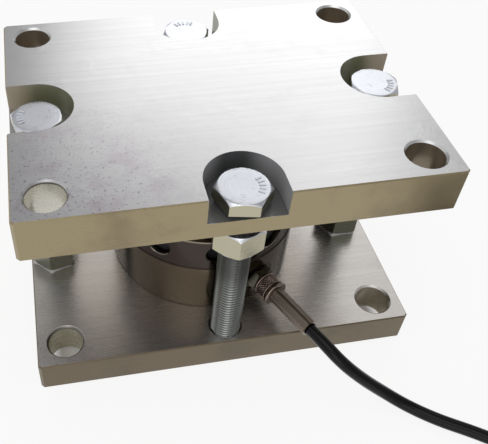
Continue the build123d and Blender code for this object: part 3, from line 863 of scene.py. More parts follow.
@dataclass(frozen=True)
class ZincFinish:
    """Bright zinc plating with faint clouds and a swirl round each bolt; upright sides painted warmer and
    darker as a painted reflection, and thread roots and upper shank darkened with painted shade.
    """

    bright: Color = display(0.91, 0.92, 0.945)
    dull: Color = display(0.76, 0.77, 0.80)
    # Upright flats painted warmer and darker: a painted reflection of the surroundings they face.
    side: Color = display(0.72, 0.70, 0.61)
    roughness: float = 0.26
    rough_lift: float = 0.08
    clouds: Clouds = (260.0, 0.5, 0.4)
    swirl_lines: float = 900.0
    swirl_share: float = 0.5
    dull_edge: Span = (0.2, 0.7)
    side_edge: Span = (0.6, 0.3)
    pits: Clouds = (1400.0, 0.5, 0.3)
    pit_share: float = 0.3
    dents: float = 0.00002
    relief_share: float = 0.5
    metallic: float = 1.0
    # Painted shade: the root colour darkens the thread roots and the upper shank.
    root: Color | None = None
    root_shade_edge: Span = (0.00772, 0.00715)
    root_shade_fades: Span = (0.050, 0.072)
    upper_root_shade: float = 0.12
    upper_painted_shade: float = 0.72
    side_axis: Vector = Vector((0.086, 0.0, 0.0))
    end_axis: Vector = Vector((0.0, 0.064, 0.0))

    def material(self, name: str) -> bpy.types.Material:
        """Builds the material.

        Args:
            name: Name of the material.

        Returns:
            The zinc material.
        """
        shader = Shader(name, self.bright, self.metallic, self.roughness)
        clouds = shader.stains(self.clouds)
        around = shader.from_nearest(self.side_axis, self.end_axis)
        swirl = shader.turned(self.swirl_lines, around)
        shade = clouds * (1.0 - self.swirl_share) + swirl * self.swirl_share
        top = shader.mix(shade.span(*self.dull_edge), self.bright, self.dull)
        # Painted reflection on the upright sides.
        is_side = abs(shader.facing).span(*self.side_edge)
        color = shader.mix(is_side, top, self.side)
        # Painted shade: dark thread roots fading upward, and a darker upper shank.
        if self.root is not None:
            radius = around.vector("MULTIPLY", LEVEL_PARTS).measure("DISTANCE", ORIGIN)
            sharp = shader.z.span(*self.root_shade_fades, 1.0, self.upper_root_shade)
            color = shader.mix(radius.span(*self.root_shade_edge) * sharp, color, self.root)
            color = shader.mix(shader.z.span(*self.root_shade_fades, 0.0, self.upper_painted_shade), color, self.root)
        rough = clouds.span(0.0, 1.0, self.roughness, self.roughness + self.rough_lift)
        height = swirl * (1.0 - is_side) + shader.stains(self.pits) * self.pit_share
        return shader.finish(color, rough, height, self.dents, self.relief_share)


@dataclass(frozen=True)
class TurnedFinish:
    """Semi-polished turned steel of the load cell, darker on its upper band, with painted highlight lines
    along its upper rim and top edge.
    """

    lower: Color = display(0.36, 0.32, 0.265)
    upper: Color = display(0.26, 0.23, 0.215)
    cloud: Color = display(0.30, 0.26, 0.23)
    # Painted highlight: thin light lines along the upper rim and the top edge.
    painted_rim_highlight: Color = display(0.56, 0.53, 0.48)
    ledge: Color = display(0.20, 0.175, 0.155)
    clouds: Clouds = (45.0, 0.5, 0.35)
    cloud_share: float = 0.5
    band_height: float = 0.051
    band_edge: Span = (-0.0002, 0.0002)
    ledge_edge: Span = (0.001, 0.0005)
    ledge_facing: Span = (0.4, 0.6)
    rim_start: Span = (0.0488, 0.0491)
    rim_end: Span = (0.0502, 0.0508)
    top_highlight_line: Span = (0.0695, 0.0697)
    roughness: float = 0.14
    rough_edge: Span = (0.3, 0.7)
    rough_range: Span = (-0.04, 0.08)
    lines: float = 2200.0
    line_depth: float = 0.00001
    relief_share: float = 0.3

    def material(self, name: str) -> bpy.types.Material:
        """Builds the material.

        Args:
            name: Name of the material.

        Returns:
            The load cell's material.
        """
        shader = Shader(name, self.lower, 1.0, self.roughness)
        rings = shader.turned(self.lines)
        is_upper = shader.z.span(*(self.band_height + step for step in self.band_edge))
        color = shader.mix(is_upper, self.lower, self.upper)
        color = shader.mix(shader.stains(self.clouds) * self.cloud_share, color, self.cloud)
        radius = shader.position.vector("MULTIPLY", LEVEL_PARTS).measure("DISTANCE", ORIGIN)
        # Painted highlight lines on the rim and along the top edge.
        rim_highlight_mask = is_upper * radius.span(*self.rim_end, 1.0, 0.0) * radius.span(*self.rim_start)
        color = shader.mix(rim_highlight_mask.at_least(shader.z.span(*self.top_highlight_line)), color, self.painted_rim_highlight)
        on_ledge = shader.z.span(*(self.band_height + step for step in self.ledge_edge))
        color = shader.mix(shader.facing.span(*self.ledge_facing) * on_ledge, color, self.ledge)
        rough = rings.span(*self.rough_edge, *(self.roughness + step for step in self.rough_range))
        return shader.finish(color, rough, rings, self.line_depth, self.relief_share)


@dataclass(frozen=True)
class PlainFinish:
    """One colour with fine mottling, for small fittings, plastic and rubber."""

    color: Color
    shade: Color
    roughness: float = 0.5
    metallic: float = 0.0
    gloss: float = 0.5
    spots: Clouds = (900.0, 0.5, 0.4)
    rough_range: Span = (-0.04, 0.06)
    depth: float = 0.00003
    relief_share: float = 0.4

    def material(self, name: str) -> bpy.types.Material:
        """Builds the material.

        Args:
            name: Name of the material.

        Returns:
            The material.
        """
        shader = Shader(name, self.color, self.metallic, self.roughness)
        shader.put(self.gloss, shader.surface["Specular IOR Level"])
        spots = shader.stains(self.spots)
        color = shader.mix(spots, self.color, self.shade)
        rough = spots.span(0.0, 1.0, *(self.roughness + step for step in self.rough_range))
        return shader.finish(color, rough, spots, self.depth, self.relief_share)


class Finish(Enum):
    """The finishes of the module, by the name of their material."""

    TOP_PLATE = "top_plate_steel"
    BASE_PLATE = "base_plate_steel"
    CELL = "cell_steel"
    COVER = "cover_steel"
    BUTTON = "button_steel"
    ZINC = "zinc_steel"
    LOCK_NUT_PAINTED_SHADE = "lock_nut_painted_shade_zinc"
    MARK = "mark_zinc"
    THREAD = "thread_steel"
    SCREW = "dark_screws"
    POTTING = "black_potting"
    FOIL = "gauge_foil"
    BOARD = "green_board"
    SPACER = "brass_spacers"
    GLAND = "gland_metal"
    GLAND_NUT = "gland_nut_metal"
    GLAND_BEAD = "gland_bead_metal"
    SPRING = "spring_steel"
    RUBBER = "seal_rubber"
    JACKET = "cable_jacket"
    TIE = "tie_plastic"
    LEAD = "lead_insulation"


LOOKS = {
    Finish.TOP_PLATE: PlateFinish(has_pockets=True),
    Finish.BASE_PLATE: PlateFinish(
        face=display(0.86, 0.845, 0.83),
        face_dark=display(0.78, 0.765, 0.75),
        # Base plate sides painted darker still, as a painted reflection.
        side=display(0.45, 0.40, 0.315),
        side_dark=display(0.385, 0.345, 0.27),
        stain_corner=Vector((-0.100, -0.085, 0.019)),
        stain_edge=(0.040, 0.02),
        hole=display(0.70, 0.66, 0.58),
        # Painted light on the base plate's front-left hole wall as well.
        painted_light_hole=Vector((-0.085, -0.061, 0.0095)),
        hole_painted_light=display(0.80, 0.78, 0.70),
        ring=(0.0172, 0.0189),
        roughness=0.25,
        metallic=0.93,
        brush_depth=0.00002,
    ),
    Finish.CELL: TurnedFinish(),
    Finish.COVER: TurnedFinish(lower=display(0.62, 0.61, 0.6)),
    Finish.BUTTON: TurnedFinish(lower=display(0.7, 0.7, 0.7), roughness=0.15),
    Finish.ZINC: ZincFinish(),
    # Lock nuts: a copy of the zinc with sides painted darker, painted shade.
    Finish.LOCK_NUT_PAINTED_SHADE: ZincFinish(side=display(0.46, 0.465, 0.41)),
    Finish.MARK: ZincFinish(side=display(0.86, 0.87, 0.90), metallic=0.4),
    Finish.THREAD: ZincFinish(
        bright=display(0.56, 0.57, 0.56),
        dull=display(0.46, 0.47, 0.46),
        side=display(0.45, 0.46, 0.45),
        # Colour of the painted shade in the thread roots and on the upper shank.
        root=display(0.22, 0.22, 0.21),
        roughness=0.18,
    ),
    Finish.SCREW: PlainFinish(display(0.16, 0.16, 0.17), display(0.22, 0.22, 0.22), 0.4, 1.0),
    Finish.POTTING: PlainFinish(display(0.05, 0.05, 0.05), display(0.08, 0.08, 0.08), 0.7),
    Finish.FOIL: PlainFinish(display(0.72, 0.52, 0.22), display(0.60, 0.42, 0.18), 0.3),
    Finish.BOARD: PlainFinish(display(0.10, 0.36, 0.20), display(0.08, 0.30, 0.17), 0.35),
    Finish.SPACER: PlainFinish(display(0.80, 0.66, 0.38), display(0.70, 0.56, 0.32), 0.3, 1.0),
    Finish.GLAND: PlainFinish(display(0.36, 0.355, 0.31), display(0.27, 0.265, 0.23), 0.2, 1.0),
    Finish.GLAND_NUT: PlainFinish(display(0.50, 0.44, 0.41), display(0.36, 0.31, 0.29), 0.14, 1.0),
    Finish.GLAND_BEAD: PlainFinish(display(0.50, 0.45, 0.41), display(0.40, 0.36, 0.33), 0.10, 1.0),
    Finish.SPRING: PlainFinish(display(0.48, 0.44, 0.40), display(0.38, 0.34, 0.31), 0.09, 1.0),
    Finish.RUBBER: PlainFinish(display(0.07, 0.07, 0.07), display(0.1, 0.1, 0.1), 0.65),
    Finish.JACKET: PlainFinish(display(0.03, 0.032, 0.035), display(0.045, 0.047, 0.05), 0.2, gloss=0.22),
    Finish.TIE: PlainFinish(display(0.12, 0.12, 0.12), display(0.16, 0.16, 0.16), 0.5),
    Finish.LEAD: PlainFinish(display(0.65, 0.15, 0.12), display(0.55, 0.12, 0.1), 0.4),
}

DRESSED_NODES = {
    Finish.TOP_PLATE: ("top_plate",),
    Finish.BASE_PLATE: ("base_plate",),
    Finish.CELL: ("load_cell_body",),
    Finish.COVER: ("top_cover", "bottom_cover"),
    Finish.BUTTON: ("load_button", "pressure_pad"),
    Finish.SCREW: ("cell_screws", "pad_screws"),
    Finish.POTTING: ("bore_seals",),
    Finish.FOIL: ("strain_gauges",),
    Finish.BOARD: ("terminal_board",),
    Finish.SPACER: ("board_spacers",),
    Finish.ZINC: ("board_screws",),
    Finish.GLAND: ("gland_washer", "gland_body"),
    Finish.RUBBER: ("gland_seal",),
    Finish.TIE: ("coil_ties", "cable_sleeve"),
    Finish.LEAD: ("cable_leads",),
}


class Palette:
    """Every material of the module, made once."""

    def __init__(self) -> None:
        """Builds the materials."""
        self.made = {finish: look.material(finish.value) for finish, look in LOOKS.items()}

    def dress(self) -> None:
        """Gives each CAD node that stays its finish."""
        for finish, nodes in DRESSED_NODES.items():
            for node in nodes:
                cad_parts[node].data.materials.clear()
                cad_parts[node].data.materials.append(self.made[finish])
                log.info("dressed %s in %s", node, finish.value)


# Mesh tools


def tidy_mesh(mesh: bpy.types.Mesh, sharp_angle: float = 30.0) -> None:
    """Closes seams, drops loose edges, turns faces outwards and shades by angle.

    Args:
        mesh: The mesh to tidy.
        sharp_angle: Edges that turn more than this many degrees stay sharp.
    """
    work = bmesh.new()
    work.from_mesh(mesh)
    bmesh.ops.remove_doubles(work, verts=work.verts, dist=WELD)
    bmesh.ops.dissolve_degenerate(work, edges=work.edges, dist=WELD / 10)
    loose = [edge for edge in work.edges if not edge.link_faces]
    bmesh.ops.delete(work, geom=loose, context="EDGES")
    lone = [vertex for vertex in work.verts if not vertex.link_edges]
    bmesh.ops.delete(work, geom=lone, context="VERTS")
    bmesh.ops.recalc_face_normals(work, faces=work.faces)
    work.to_mesh(mesh)
    work.free()
    mesh.shade_smooth()
    mesh.set_sharp_from_angle(angle=math.radians(sharp_angle))


def rings_mesh(name: str, rings: list[list[Vector]], closed: bool) -> bpy.types.Mesh:
    """Mesh whose faces join rings of equally many points.

    Args:
        name: Name of the mesh.
        rings: Rings in order; a ring of one point is a pole.
        closed: Whether the last ring joins the first again.

    Returns:
        The mesh, tidied.
    """
    points: list[Vector] = []
    starts: list[tuple[int, int]] = []
    for ring in rings:
        starts.append((len(points), len(ring)))
        points.extend(ring)
    faces = []
    count = max(size for _, size in starts)
    pairs = list(zip(starts, starts[1:])) + ([(starts[-1], starts[0])] if closed else [])
    for (first, first_size), (second, second_size) in pairs:
        for step in range(count):
            after = (step + 1) % count
            corners = [
                first + (step if first_size > 1 else 0),
                first + (after if first_size > 1 else 0),
                second + (after if second_size > 1 else 0),
                second + (step if second_size > 1 else 0),
            ]
            faces.append(list(dict.fromkeys(corners)))
    mesh = bpy.data.meshes.new(name)
    mesh.from_pydata(points, [], faces)
    tidy_mesh(mesh)
    return mesh


def join_meshes(name: str, meshes: list[bpy.types.Mesh]) -> bpy.types.Mesh:
    """Puts several meshes into one, with their own materials and shading.

    Args:
        name: Name of the new mesh.
        meshes: The meshes, all in the row frame.

    Returns:
        The joined mesh.
    """
    pieces = [new_object(f"{name}_{index}", mesh) for index, mesh in enumerate(meshes)]
    with bpy.context.temp_override(active_object=pieces[0], selected_editable_objects=pieces):
        bpy.ops.object.join()
    joined = pieces[0].data
    bpy.data.objects.remove(pieces[0])
    joined.name = name
    return joined


class GeometryTree(Wiring):
    """A Geometry Nodes tree with named inputs."""

    def __init__(self, name: str, sizes: dict[str, float]) -> None:
        """Makes the tree's sockets.

        Args:
            name: Name of the tree.
            sizes: Default of each size input.
        """
        super().__init__(bpy.data.node_groups.new(name, "GeometryNodeTree"))
        self.add_socket("Geometry", "INPUT", "Geometry")
        self.sockets = {
            label: self.add_socket(label, "INPUT", "Float", default) for label, default in sizes.items()
        }
        self.sockets["Material"] = self.add_socket("Material", "INPUT", "Material")
        self.add_socket("Geometry", "OUTPUT", "Geometry")
        self.given = self.node("NodeGroupInput")

    def end(self, geometry: Signal) -> None:
        """Ends the tree in Realize Instances and Set Material.

        Args:
            geometry: What the tree has made.
        """
        real = self.node("GeometryNodeRealizeInstances", geometry)[0]
        dressed = self.node("GeometryNodeSetMaterial", Geometry=real, Material=self.given["Material"])
        self.node("NodeGroupOutput", dressed[0])

    def mesh(self, name: str, material: bpy.types.Material, sizes: dict[str, float]) -> bpy.types.Mesh:
        """Runs the tree and returns its result as a plain mesh.

        Args:
            name: Name of the mesh.
            material: Material of the result.
            sizes: Values of the inputs that differ from their defaults.

        Returns:
            The mesh, with no modifier left on it.
        """
        carrier = new_object(f"{name}_carrier", bpy.data.meshes.new(f"{name}_carrier"))
        modifier = carrier.modifiers.new("shape", "NODES")
        modifier.node_group = self.tree
        for label, value in sizes.items():
            modifier[self.sockets[label]] = float(value)
        modifier[self.sockets["Material"]] = material
        evaluated = carrier.evaluated_get(bpy.context.evaluated_depsgraph_get())
        mesh = bpy.data.meshes.new_from_object(evaluated)
        mesh.name = name
        bpy.data.objects.remove(carrier)
        return mesh


def ridged_barrel_tree() -> GeometryTree:
    """Barrel with helical ridges: a thread, a wound spring or, with both hands, a knurl.

    Returns:
        The tree. Its rows run from the inner wall over the ridges and back to the inner wall.
    """
    sizes = {
        "Crest Radius": 0.008,
        "Inner Radius": 0.0,
        "Depth": 0.001,
        "Pitch": 0.002,
        "Starts": 1.0,
        "Flat": 0.12,
        "Round": 0.0,
        "Cross": 0.0,
        "Length": 0.1,
        "End Bevel": 0.001,
        "Around": 36.0,
        "Rows": 300.0,
    }
    tree = GeometryTree("ridged_barrel", sizes)
    given = tree.given
    rows, crest_radius, flat, rounded = (given[label] for label in ("Rows", "Crest Radius", "Flat", "Round"))
    grid = tree.node(
        "GeometryNodeMeshGrid", Size_X=1.0, Size_Y=1.0, Vertices_X=given["Around"] + 1.0, Vertices_Y=rows + 4.0
    )
    across, up, _ = tree.node("GeometryNodeInputPosition")[0].parts()
    turn = across + 0.5
    row = ((up + 0.5) * (rows + 3.0)).math("ROUND")
    is_first = row.math("LESS_THAN", 0.5)
    is_last = row.math("GREATER_THAN", rows + 2.5)
    is_inner = is_first.at_least(row.math("GREATER_THAN", rows + 1.5))
    climb = ((row - 1.0) / rows).at_least(0.0).at_most(1.0)
    height = climb * (1.0 - is_last) * given["Length"]
    winding = turn * given["Starts"]
    along = height / given["Pitch"]

    def ridge(phase: Signal) -> Signal:
        """Height of the ridge at a phase of the pitch.

        Args:
            phase: Place along the ridges in pitches.

        Returns:
            The height, 0 in the root and 1 on the crest.
        """
        offset = abs(phase.math("FRACT") * 2.0 - 1.0)
        sharp = ((1.0 - offset - flat) / (1.0 - flat * 2.0)).at_least(0.0).at_most(1.0)
        arc = (1.0 - offset * offset).at_least(0.0).math("SQRT")
        return sharp * (1.0 - rounded) + arc * rounded

    right_hand = ridge(along + 1000.0 - winding)
    left_hand = ridge(along + winding).at_least(1.0 - given["Cross"])
    radius = crest_radius - given["Depth"] * (1.0 - right_hand.at_most(left_hand))
    radius = radius.at_most(crest_radius - given["End Bevel"] + height)
    radius = radius * (1.0 - is_inner) + given["Inner Radius"] * is_inner
    angle = turn * FULL_TURN
    point = tree.node(
        "ShaderNodeCombineXYZ", radius * angle.math("COSINE"), radius * angle.math("SINE"), height
    )
    moved = tree.node("GeometryNodeSetPosition", Geometry=grid["Mesh"], Position=point[0])
    welded = tree.node("GeometryNodeMergeByDistance", Geometry=moved[0], Distance=WELD)
    tree.end(welded[0])
    return tree


def tick_tree() -> GeometryTree:
    """Short raised bars that stand radially on a bolt head.

    Returns:
        The tree. Its bars start at an angle and follow each other by a step.
    """
    sizes = {
        "Count": 5.0,
        "Radius": 0.0085,
        "Start": 0.0,
        "Step": 0.27,
        "Bar Length": 0.0030,
        "Bar Width": 0.0009,
        "Bar Height": 0.0008,
    }
    tree = GeometryTree("radial_ticks", sizes)
    given = tree.given
    line = tree.node("GeometryNodeMeshLine", Count=given["Count"])
    index = tree.node("GeometryNodeInputIndex")[0]
    angle = given["Start"] + index * given["Step"]
    point = tree.node(
        "ShaderNodeCombineXYZ", given["Radius"] * angle.math("COSINE"), given["Radius"] * angle.math("SINE")
    )
    moved = tree.node("GeometryNodeSetPosition", Geometry=line[0], Position=point[0])
    size = tree.node("ShaderNodeCombineXYZ", given["Bar Length"], given["Bar Width"], given["Bar Height"])
    bar = tree.node("GeometryNodeMeshCube", Size=size[0])
    turn = tree.node("ShaderNodeCombineXYZ", Z=angle)
    placed = tree.node(
        "GeometryNodeInstanceOnPoints", Points=moved[0], Instance=bar["Mesh"], Rotation=turn[0]
    )
    tree.end(placed[0])
    return tree


# Sub-assemblies


@dataclass(frozen=True)
class HexForm:
    """Hexagon of a head or nut with its chamfers, in metres."""

    across_flats: float
    height: float
    turn: float
    face_ratio: float = 0.99
    chamfer_slope: float = math.tan(math.radians(30.0))
    corner_steps: int = 12
    edge_round: float = 0.00035
    dish: float = 0.00012

    @property
    def face_radius(self) -> float:
        """Radius of the round face that the chamfer leaves."""
        return self.face_ratio * self.across_flats / 2

    def reach(self, angle: float) -> float:
        """Distance from the axis to the hexagon's side at an angle."""
        sixth = FULL_TURN / 6
        return self.across_flats / 2 / math.cos((angle % sixth) - sixth / 2)

    def ring(self, radius: float | None, inset: float, level: float) -> list[Vector]:
        """Ring of points round the axis.

        Args:
            radius: Radius of a round ring, or None for the hexagon's own outline.
            inset: How far the outline is drawn in.
            level: Height of the ring.

        Returns:
            The points, with the hexagon's turn applied.
        """
        count = 6 * self.corner_steps
        points = []
        for step in range(count):
            angle = step * FULL_TURN / count
            distance = (self.reach(angle) if radius is None else radius) - inset
            turned = angle + math.radians(self.turn)
            points.append(Vector((distance * math.cos(turned), distance * math.sin(turned), level)))
        return points

    def fallen(self, face: float, sign: float, inset: float) -> list[Vector]:
        """Outline that the chamfer cuts.

        Args:
            face: Height of the face that the chamfer falls from.
            sign: -1 where it falls below the face, 1 where it rises above it.
            inset: How far the outline is drawn in.

        Returns:
            The ring's points.
        """
        ring = self.ring(None, inset, face)
        for point in ring:
            drop = max(0.0, Vector((point.x, point.y)).length - self.face_radius) * self.chamfer_slope
            point.z = face + sign * drop
        return ring

    def head(self, name: str) -> bpy.types.Mesh:
        """Bolt head with a chamfered, slightly dished top.

        Args:
            name: Name of the mesh.

        Returns:
            The head's mesh, standing on height 0.
        """
        soft, top = self.edge_round, self.height
        rings = [
            [Vector((0, 0, top - self.dish))],
            self.ring(self.face_radius * 0.5, 0.0, top - 0.75 * self.dish),
            self.ring(self.face_radius - 2 * soft, 0.0, top),
            self.ring(self.face_radius - 0.4 * soft, 0.0, top - 0.05 * soft),
            self.fallen(top - 0.1 * soft, -1.0, soft),
            self.fallen(top - 0.9 * soft, -1.0, 0.0),
            self.ring(None, 0.0, 0.6 * soft),
            self.ring(None, 0.5 * soft, 0.0),
            [Vector((0, 0, 0))],
        ]
        return rings_mesh(name, rings, closed=False)

    def nut(self, name: str, bore_radius: float, bore_chamfer: float) -> bpy.types.Mesh:
        """Nut chamfered on both faces, with a chamfered bore.

        Args:
            name: Name of the mesh.
            bore_radius: Radius of the bore.
            bore_chamfer: Width of the bore's chamfer.

        Returns:
            The nut's mesh, standing on height 0.
        """
        soft, top = self.edge_round, self.height
        rings = [
            self.ring(bore_radius, 0.0, bore_chamfer),
            self.ring(bore_radius + bore_chamfer, 0.0, 0.0),
            self.ring(self.face_radius, 0.0, 0.0),
            self.fallen(0.1 * soft, 1.0, soft),
            self.fallen(0.9 * soft, 1.0, 0.0),
            self.fallen(top - 0.9 * soft, -1.0, 0.0),
            self.fallen(top - 0.1 * soft, -1.0, soft),
            self.ring(self.face_radius, 0.0, top),
            self.ring(bore_radius + bore_chamfer, 0.0, top),
            self.ring(bore_radius, 0.0, top - bore_chamfer),
        ]
        return rings_mesh(name, rings, closed=True)


@dataclass
class Fasteners:
    """The four bolts with their support nuts and lock nuts."""

    palette: Palette
    barrels: GeometryTree
    thread_radius: float = 0.008
    thread_depth: float = 0.00115
    thread_smoothing: float = 40.0
    pitch: float = 0.002
    rows_per_turn: int = 6
    tip_bevel: float = 0.0015
    head_height: float = 0.0074
    across_flats: float = 0.0237
    bore_play: float = 0.00005
    bore_chamfer: float = 0.0009
    mark_radius: float = 0.0083
    mark_step: float = 0.27
    mark_sink: float = 0.0001

    def bolt(self, ticks: GeometryTree, node: str, turn: float, mark: float) -> bpy.types.Object:
        """Replaces a bolt with a threaded one.

        Args:
            ticks: Tree that makes the ticks on the head.
            node: Name of the bolt's CAD node.
            turn: Turn of the hexagon in degrees.
            mark: Direction of the raised ticks on the head, in degrees.

        Returns:
            The bolt's piece.
        """
        low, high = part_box(node)
        axis = middle(node)
        length = high.z - low.z - self.head_height
        thread_sizes = {
            "Crest Radius": self.thread_radius,
            "Depth": self.thread_depth,
            "Pitch": self.pitch,
            "Length": length,
            "End Bevel": self.tip_bevel,
            "Rows": length / self.pitch * self.rows_per_turn,
        }
        tick_sizes = {
            "Radius": self.mark_radius,
            "Start": math.radians(mark) - 2 * self.mark_step,
            "Step": self.mark_step,
        }
        thread = self.barrels.mesh(f"{node}_thread", self.palette.made[Finish.THREAD], thread_sizes)
        tidy_mesh(thread, self.thread_smoothing)
        head = HexForm(self.across_flats, self.head_height, turn).head(f"{node}_head")
        head.materials.append(self.palette.made[Finish.ZINC])
        marks = ticks.mesh(f"{node}_ticks", self.palette.made[Finish.MARK], tick_sizes)
        levels = (low.z, high.z - self.head_height, high.z - self.mark_sink)
        for mesh, level in zip((thread, head, marks), levels):
            mesh.transform(Matrix.Translation((axis.x, axis.y, level)))
        piece = new_object(f"{node}_threaded", join_meshes(node, [thread, head, marks]))
        return seat(piece, "base", "zinc_steel", node)

    def nut(self, node: str, body: str, turn: float, finish: Finish = Finish.ZINC) -> bpy.types.Object:
        """Replaces a nut with a chamfered one.

        Args:
            node: Name of the nut's CAD node.
            body: Body that the nut rides on.
            turn: Turn of the hexagon in degrees.
            finish: Finish of the nut.

        Returns:
            The nut's piece.
        """
        low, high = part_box(node)
        axis = middle(node)
        form = HexForm(self.across_flats, high.z - low.z, turn)
        mesh = form.nut(node, self.thread_radius + self.bore_play, self.bore_chamfer)
        mesh.materials.append(self.palette.made[finish])
        mesh.transform(Matrix.Translation((axis.x, axis.y, low.z)))
        return seat(new_object(f"{node}_chamfered", mesh), body, "zinc_steel", node)

    def build(self) -> None:
        """Builds the bolts and nuts."""
        ticks = tick_tree()
        self.bolt(ticks, "front_support_bolt", turn=-10.5, mark=-5.0)
        self.bolt(ticks, "back_support_bolt", turn=8.0, mark=90.0)
        self.bolt(ticks, "left_limit_bolt", turn=-20.0, mark=178.0)
        self.bolt(ticks, "right_limit_bolt", turn=12.0, mark=-30.0)
        self.nut("front_support_nut", "front_nut", turn=20.0)
        self.nut("back_support_nut", "back_nut", turn=5.0)
        self.nut("left_lock_nut", "left_nut", turn=15.0, finish=Finish.LOCK_NUT_PAINTED_SHADE)
        self.nut("right_lock_nut", "right_nut", turn=0.0, finish=Finish.LOCK_NUT_PAINTED_SHADE)


@dataclass
class CableGland:
    """Knurled gland nut with two beads and a flange, and the wound strain relief behind it."""

    palette: Palette
    barrels: GeometryTree
    azimuth: float = 24.3
    height: float = 0.035
    nut_start: float = 0.0565
    grip_start: float = 0.0578
    grip_end: float = 0.0626
    neck_start: float = 0.0639
    neck_end: float = 0.0645
    flange_end: float = 0.0665
    spring_start: float = 0.0641
    spring_end: float = 0.0924
    spring_radius: float = 0.0045
    spring_smoothing: float = 60.0
    seal_end: float = 0.0620
    bore_radius: float = 0.00535
    way_radius: float = 0.0036
    spring_seat_radius: float = 0.0047
    bead_radius: float = 0.0068
    bead_steps: int = 8
    bead_fullness: float = 0.6
    grip_radius: float = 0.0063
    neck_radius: float = 0.0056
    flange_radius: float = 0.0071
    knurls: int = 26
    knurl_depth: float = 0.00045
    knurl_rows: int = 6
    knurl_smoothing: float = 40.0
    wire: float = 0.0009
    coil_depth: float = 0.00016
    coil_rows: int = 8
    coil_around: int = 48
    around: int = 96

    def place(self, mesh: bpy.types.Mesh, radius: float) -> None:
        """Lays a mesh that stands on its own axis along the gland's axis.

        Args:
            mesh: The mesh.
            radius: Distance of the mesh's foot from the module's axis.
        """
        outward = polar(1.0, self.azimuth, 0.0)
        turn = outward.to_track_quat("Z", "Y").to_matrix().to_4x4()
        mesh.transform(Matrix.Translation(polar(radius, self.azimuth, self.height)) @ turn)

    def turned(self, name: str, profile: list[Span]) -> bpy.types.Mesh:
        """Mesh of a closed profile turned round the axis.

        Args:
            name: Name of the mesh.
            profile: Distances from the module's axis, each with a radius.

        Returns:
            The mesh, standing on its own axis.
        """
        angles = [step * FULL_TURN / self.around for step in range(self.around)]
        rings = []
        for along, radius in profile:
            level = along - self.nut_start
            rings.append([Vector((radius * math.cos(a), radius * math.sin(a), level)) for a in angles])
        return rings_mesh(name, rings, closed=True)

    def bead(self, start: float, end: float, foot: float, top: float) -> list[Span]:
        """Profile of a rounded bead.

        Args:
            start: Where the bead begins, as a distance from the module's axis.
            end: Where it ends.
            foot: Radius at its feet.
            top: Radius at its crown.

        Returns:
            The profile's points.
        """
        half = (end - start) / 2
        points = []
        for step in range(self.bead_steps + 1):
            angle = math.pi * step / self.bead_steps
            swell = math.sin(angle) ** self.bead_fullness
            points.append((start + half - half * math.cos(angle), foot + (top - foot) * swell))
        return points

    def nut_body(self, core: float) -> bpy.types.Mesh:
        """Gland nut without its knurl.

        Args:
            core: Radius of the grip under the knurl.

        Returns:
            The body, bright on its beads and its flange.
        """
        profile = [(self.nut_start, self.bore_radius), (self.nut_start, core)]
        profile += self.bead(self.nut_start, self.grip_start, core, self.bead_radius)
        profile += [(self.grip_start, core), (self.grip_end, core)]
        profile += self.bead(self.grip_end, self.neck_start, core, self.bead_radius)
        profile += [(self.neck_start, self.neck_radius), (self.neck_end, self.neck_radius)]
        profile += self.bead(self.neck_end, self.flange_end, self.neck_radius, self.flange_radius)
        profile += [(self.flange_end, self.spring_seat_radius), (self.spring_start, self.spring_seat_radius)]
        profile += [(self.spring_start, self.way_radius), (self.seal_end, self.way_radius)]
        profile += [(self.seal_end, self.bore_radius)]
        body = self.turned("gland_nut_body", profile)
        for finish in (Finish.GLAND_NUT, Finish.GLAND_BEAD):
            body.materials.append(self.palette.made[finish])
        for face in body.polygons:
            along = self.nut_start + face.center.z
            is_grip = self.grip_start < along < self.grip_end
            is_neck = self.neck_start < along < self.neck_end
            face.material_index = 0 if is_grip or is_neck else 1
        return body

    def nut(self) -> bpy.types.Object:
        """Replaces the gland nut.

        Returns:
            The nut's piece.
        """
        core = self.grip_radius - 2 * self.knurl_depth
        length = self.grip_end - self.grip_start
        pitch = FULL_TURN * self.grip_radius / self.knurls
        sizes = {
            "Crest Radius": self.grip_radius,
            "Inner Radius": core - self.knurl_depth / 2,
            "Depth": self.knurl_depth,
            "Pitch": pitch,
            "Starts": self.knurls,
            "Cross": 1.0,
            "Length": length,
            "End Bevel": self.knurl_depth,
            "Around": self.knurls * 4,
            "Rows": round(length / pitch * self.knurl_rows),
        }
        body = self.nut_body(core)
        knurl = self.barrels.mesh("gland_nut_knurl", self.palette.made[Finish.GLAND_NUT], sizes)
        tidy_mesh(knurl, self.knurl_smoothing)
        knurl.transform(Matrix.Translation((0.0, 0.0, self.grip_start - self.nut_start)))
        mesh = join_meshes("gland_nut", [body, knurl])
        self.place(mesh, self.nut_start)
        return seat(new_object("gland_nut_knurled", mesh), "base", "gland_nut_metal", "gland_nut")

    def spring(self) -> bpy.types.Object:
        """Replaces the strain relief by a closely wound one.

        Returns:
            The spring's piece.
        """
        length = self.spring_end - self.spring_start
        turns = round(length / self.wire)
        sizes = {
            "Crest Radius": self.spring_radius,
            "Inner Radius": self.way_radius,
            "Depth": self.coil_depth,
            "Pitch": length / turns,
            "Round": 1.0,
            "Length": length,
            "End Bevel": self.wire / 3,
            "Around": self.coil_around,
            "Rows": turns * self.coil_rows,
        }
        mesh = self.barrels.mesh("strain_relief_spring", self.palette.made[Finish.SPRING], sizes)
        tidy_mesh(mesh, self.spring_smoothing)
        self.place(mesh, self.spring_start)
        piece = new_object("strain_relief_wound", mesh)
        return seat(piece, "base", "spring_steel", "strain_relief_spring")

    def build(self) -> None:
        """Builds the gland nut and the spring."""
        self.nut()
        self.spring()


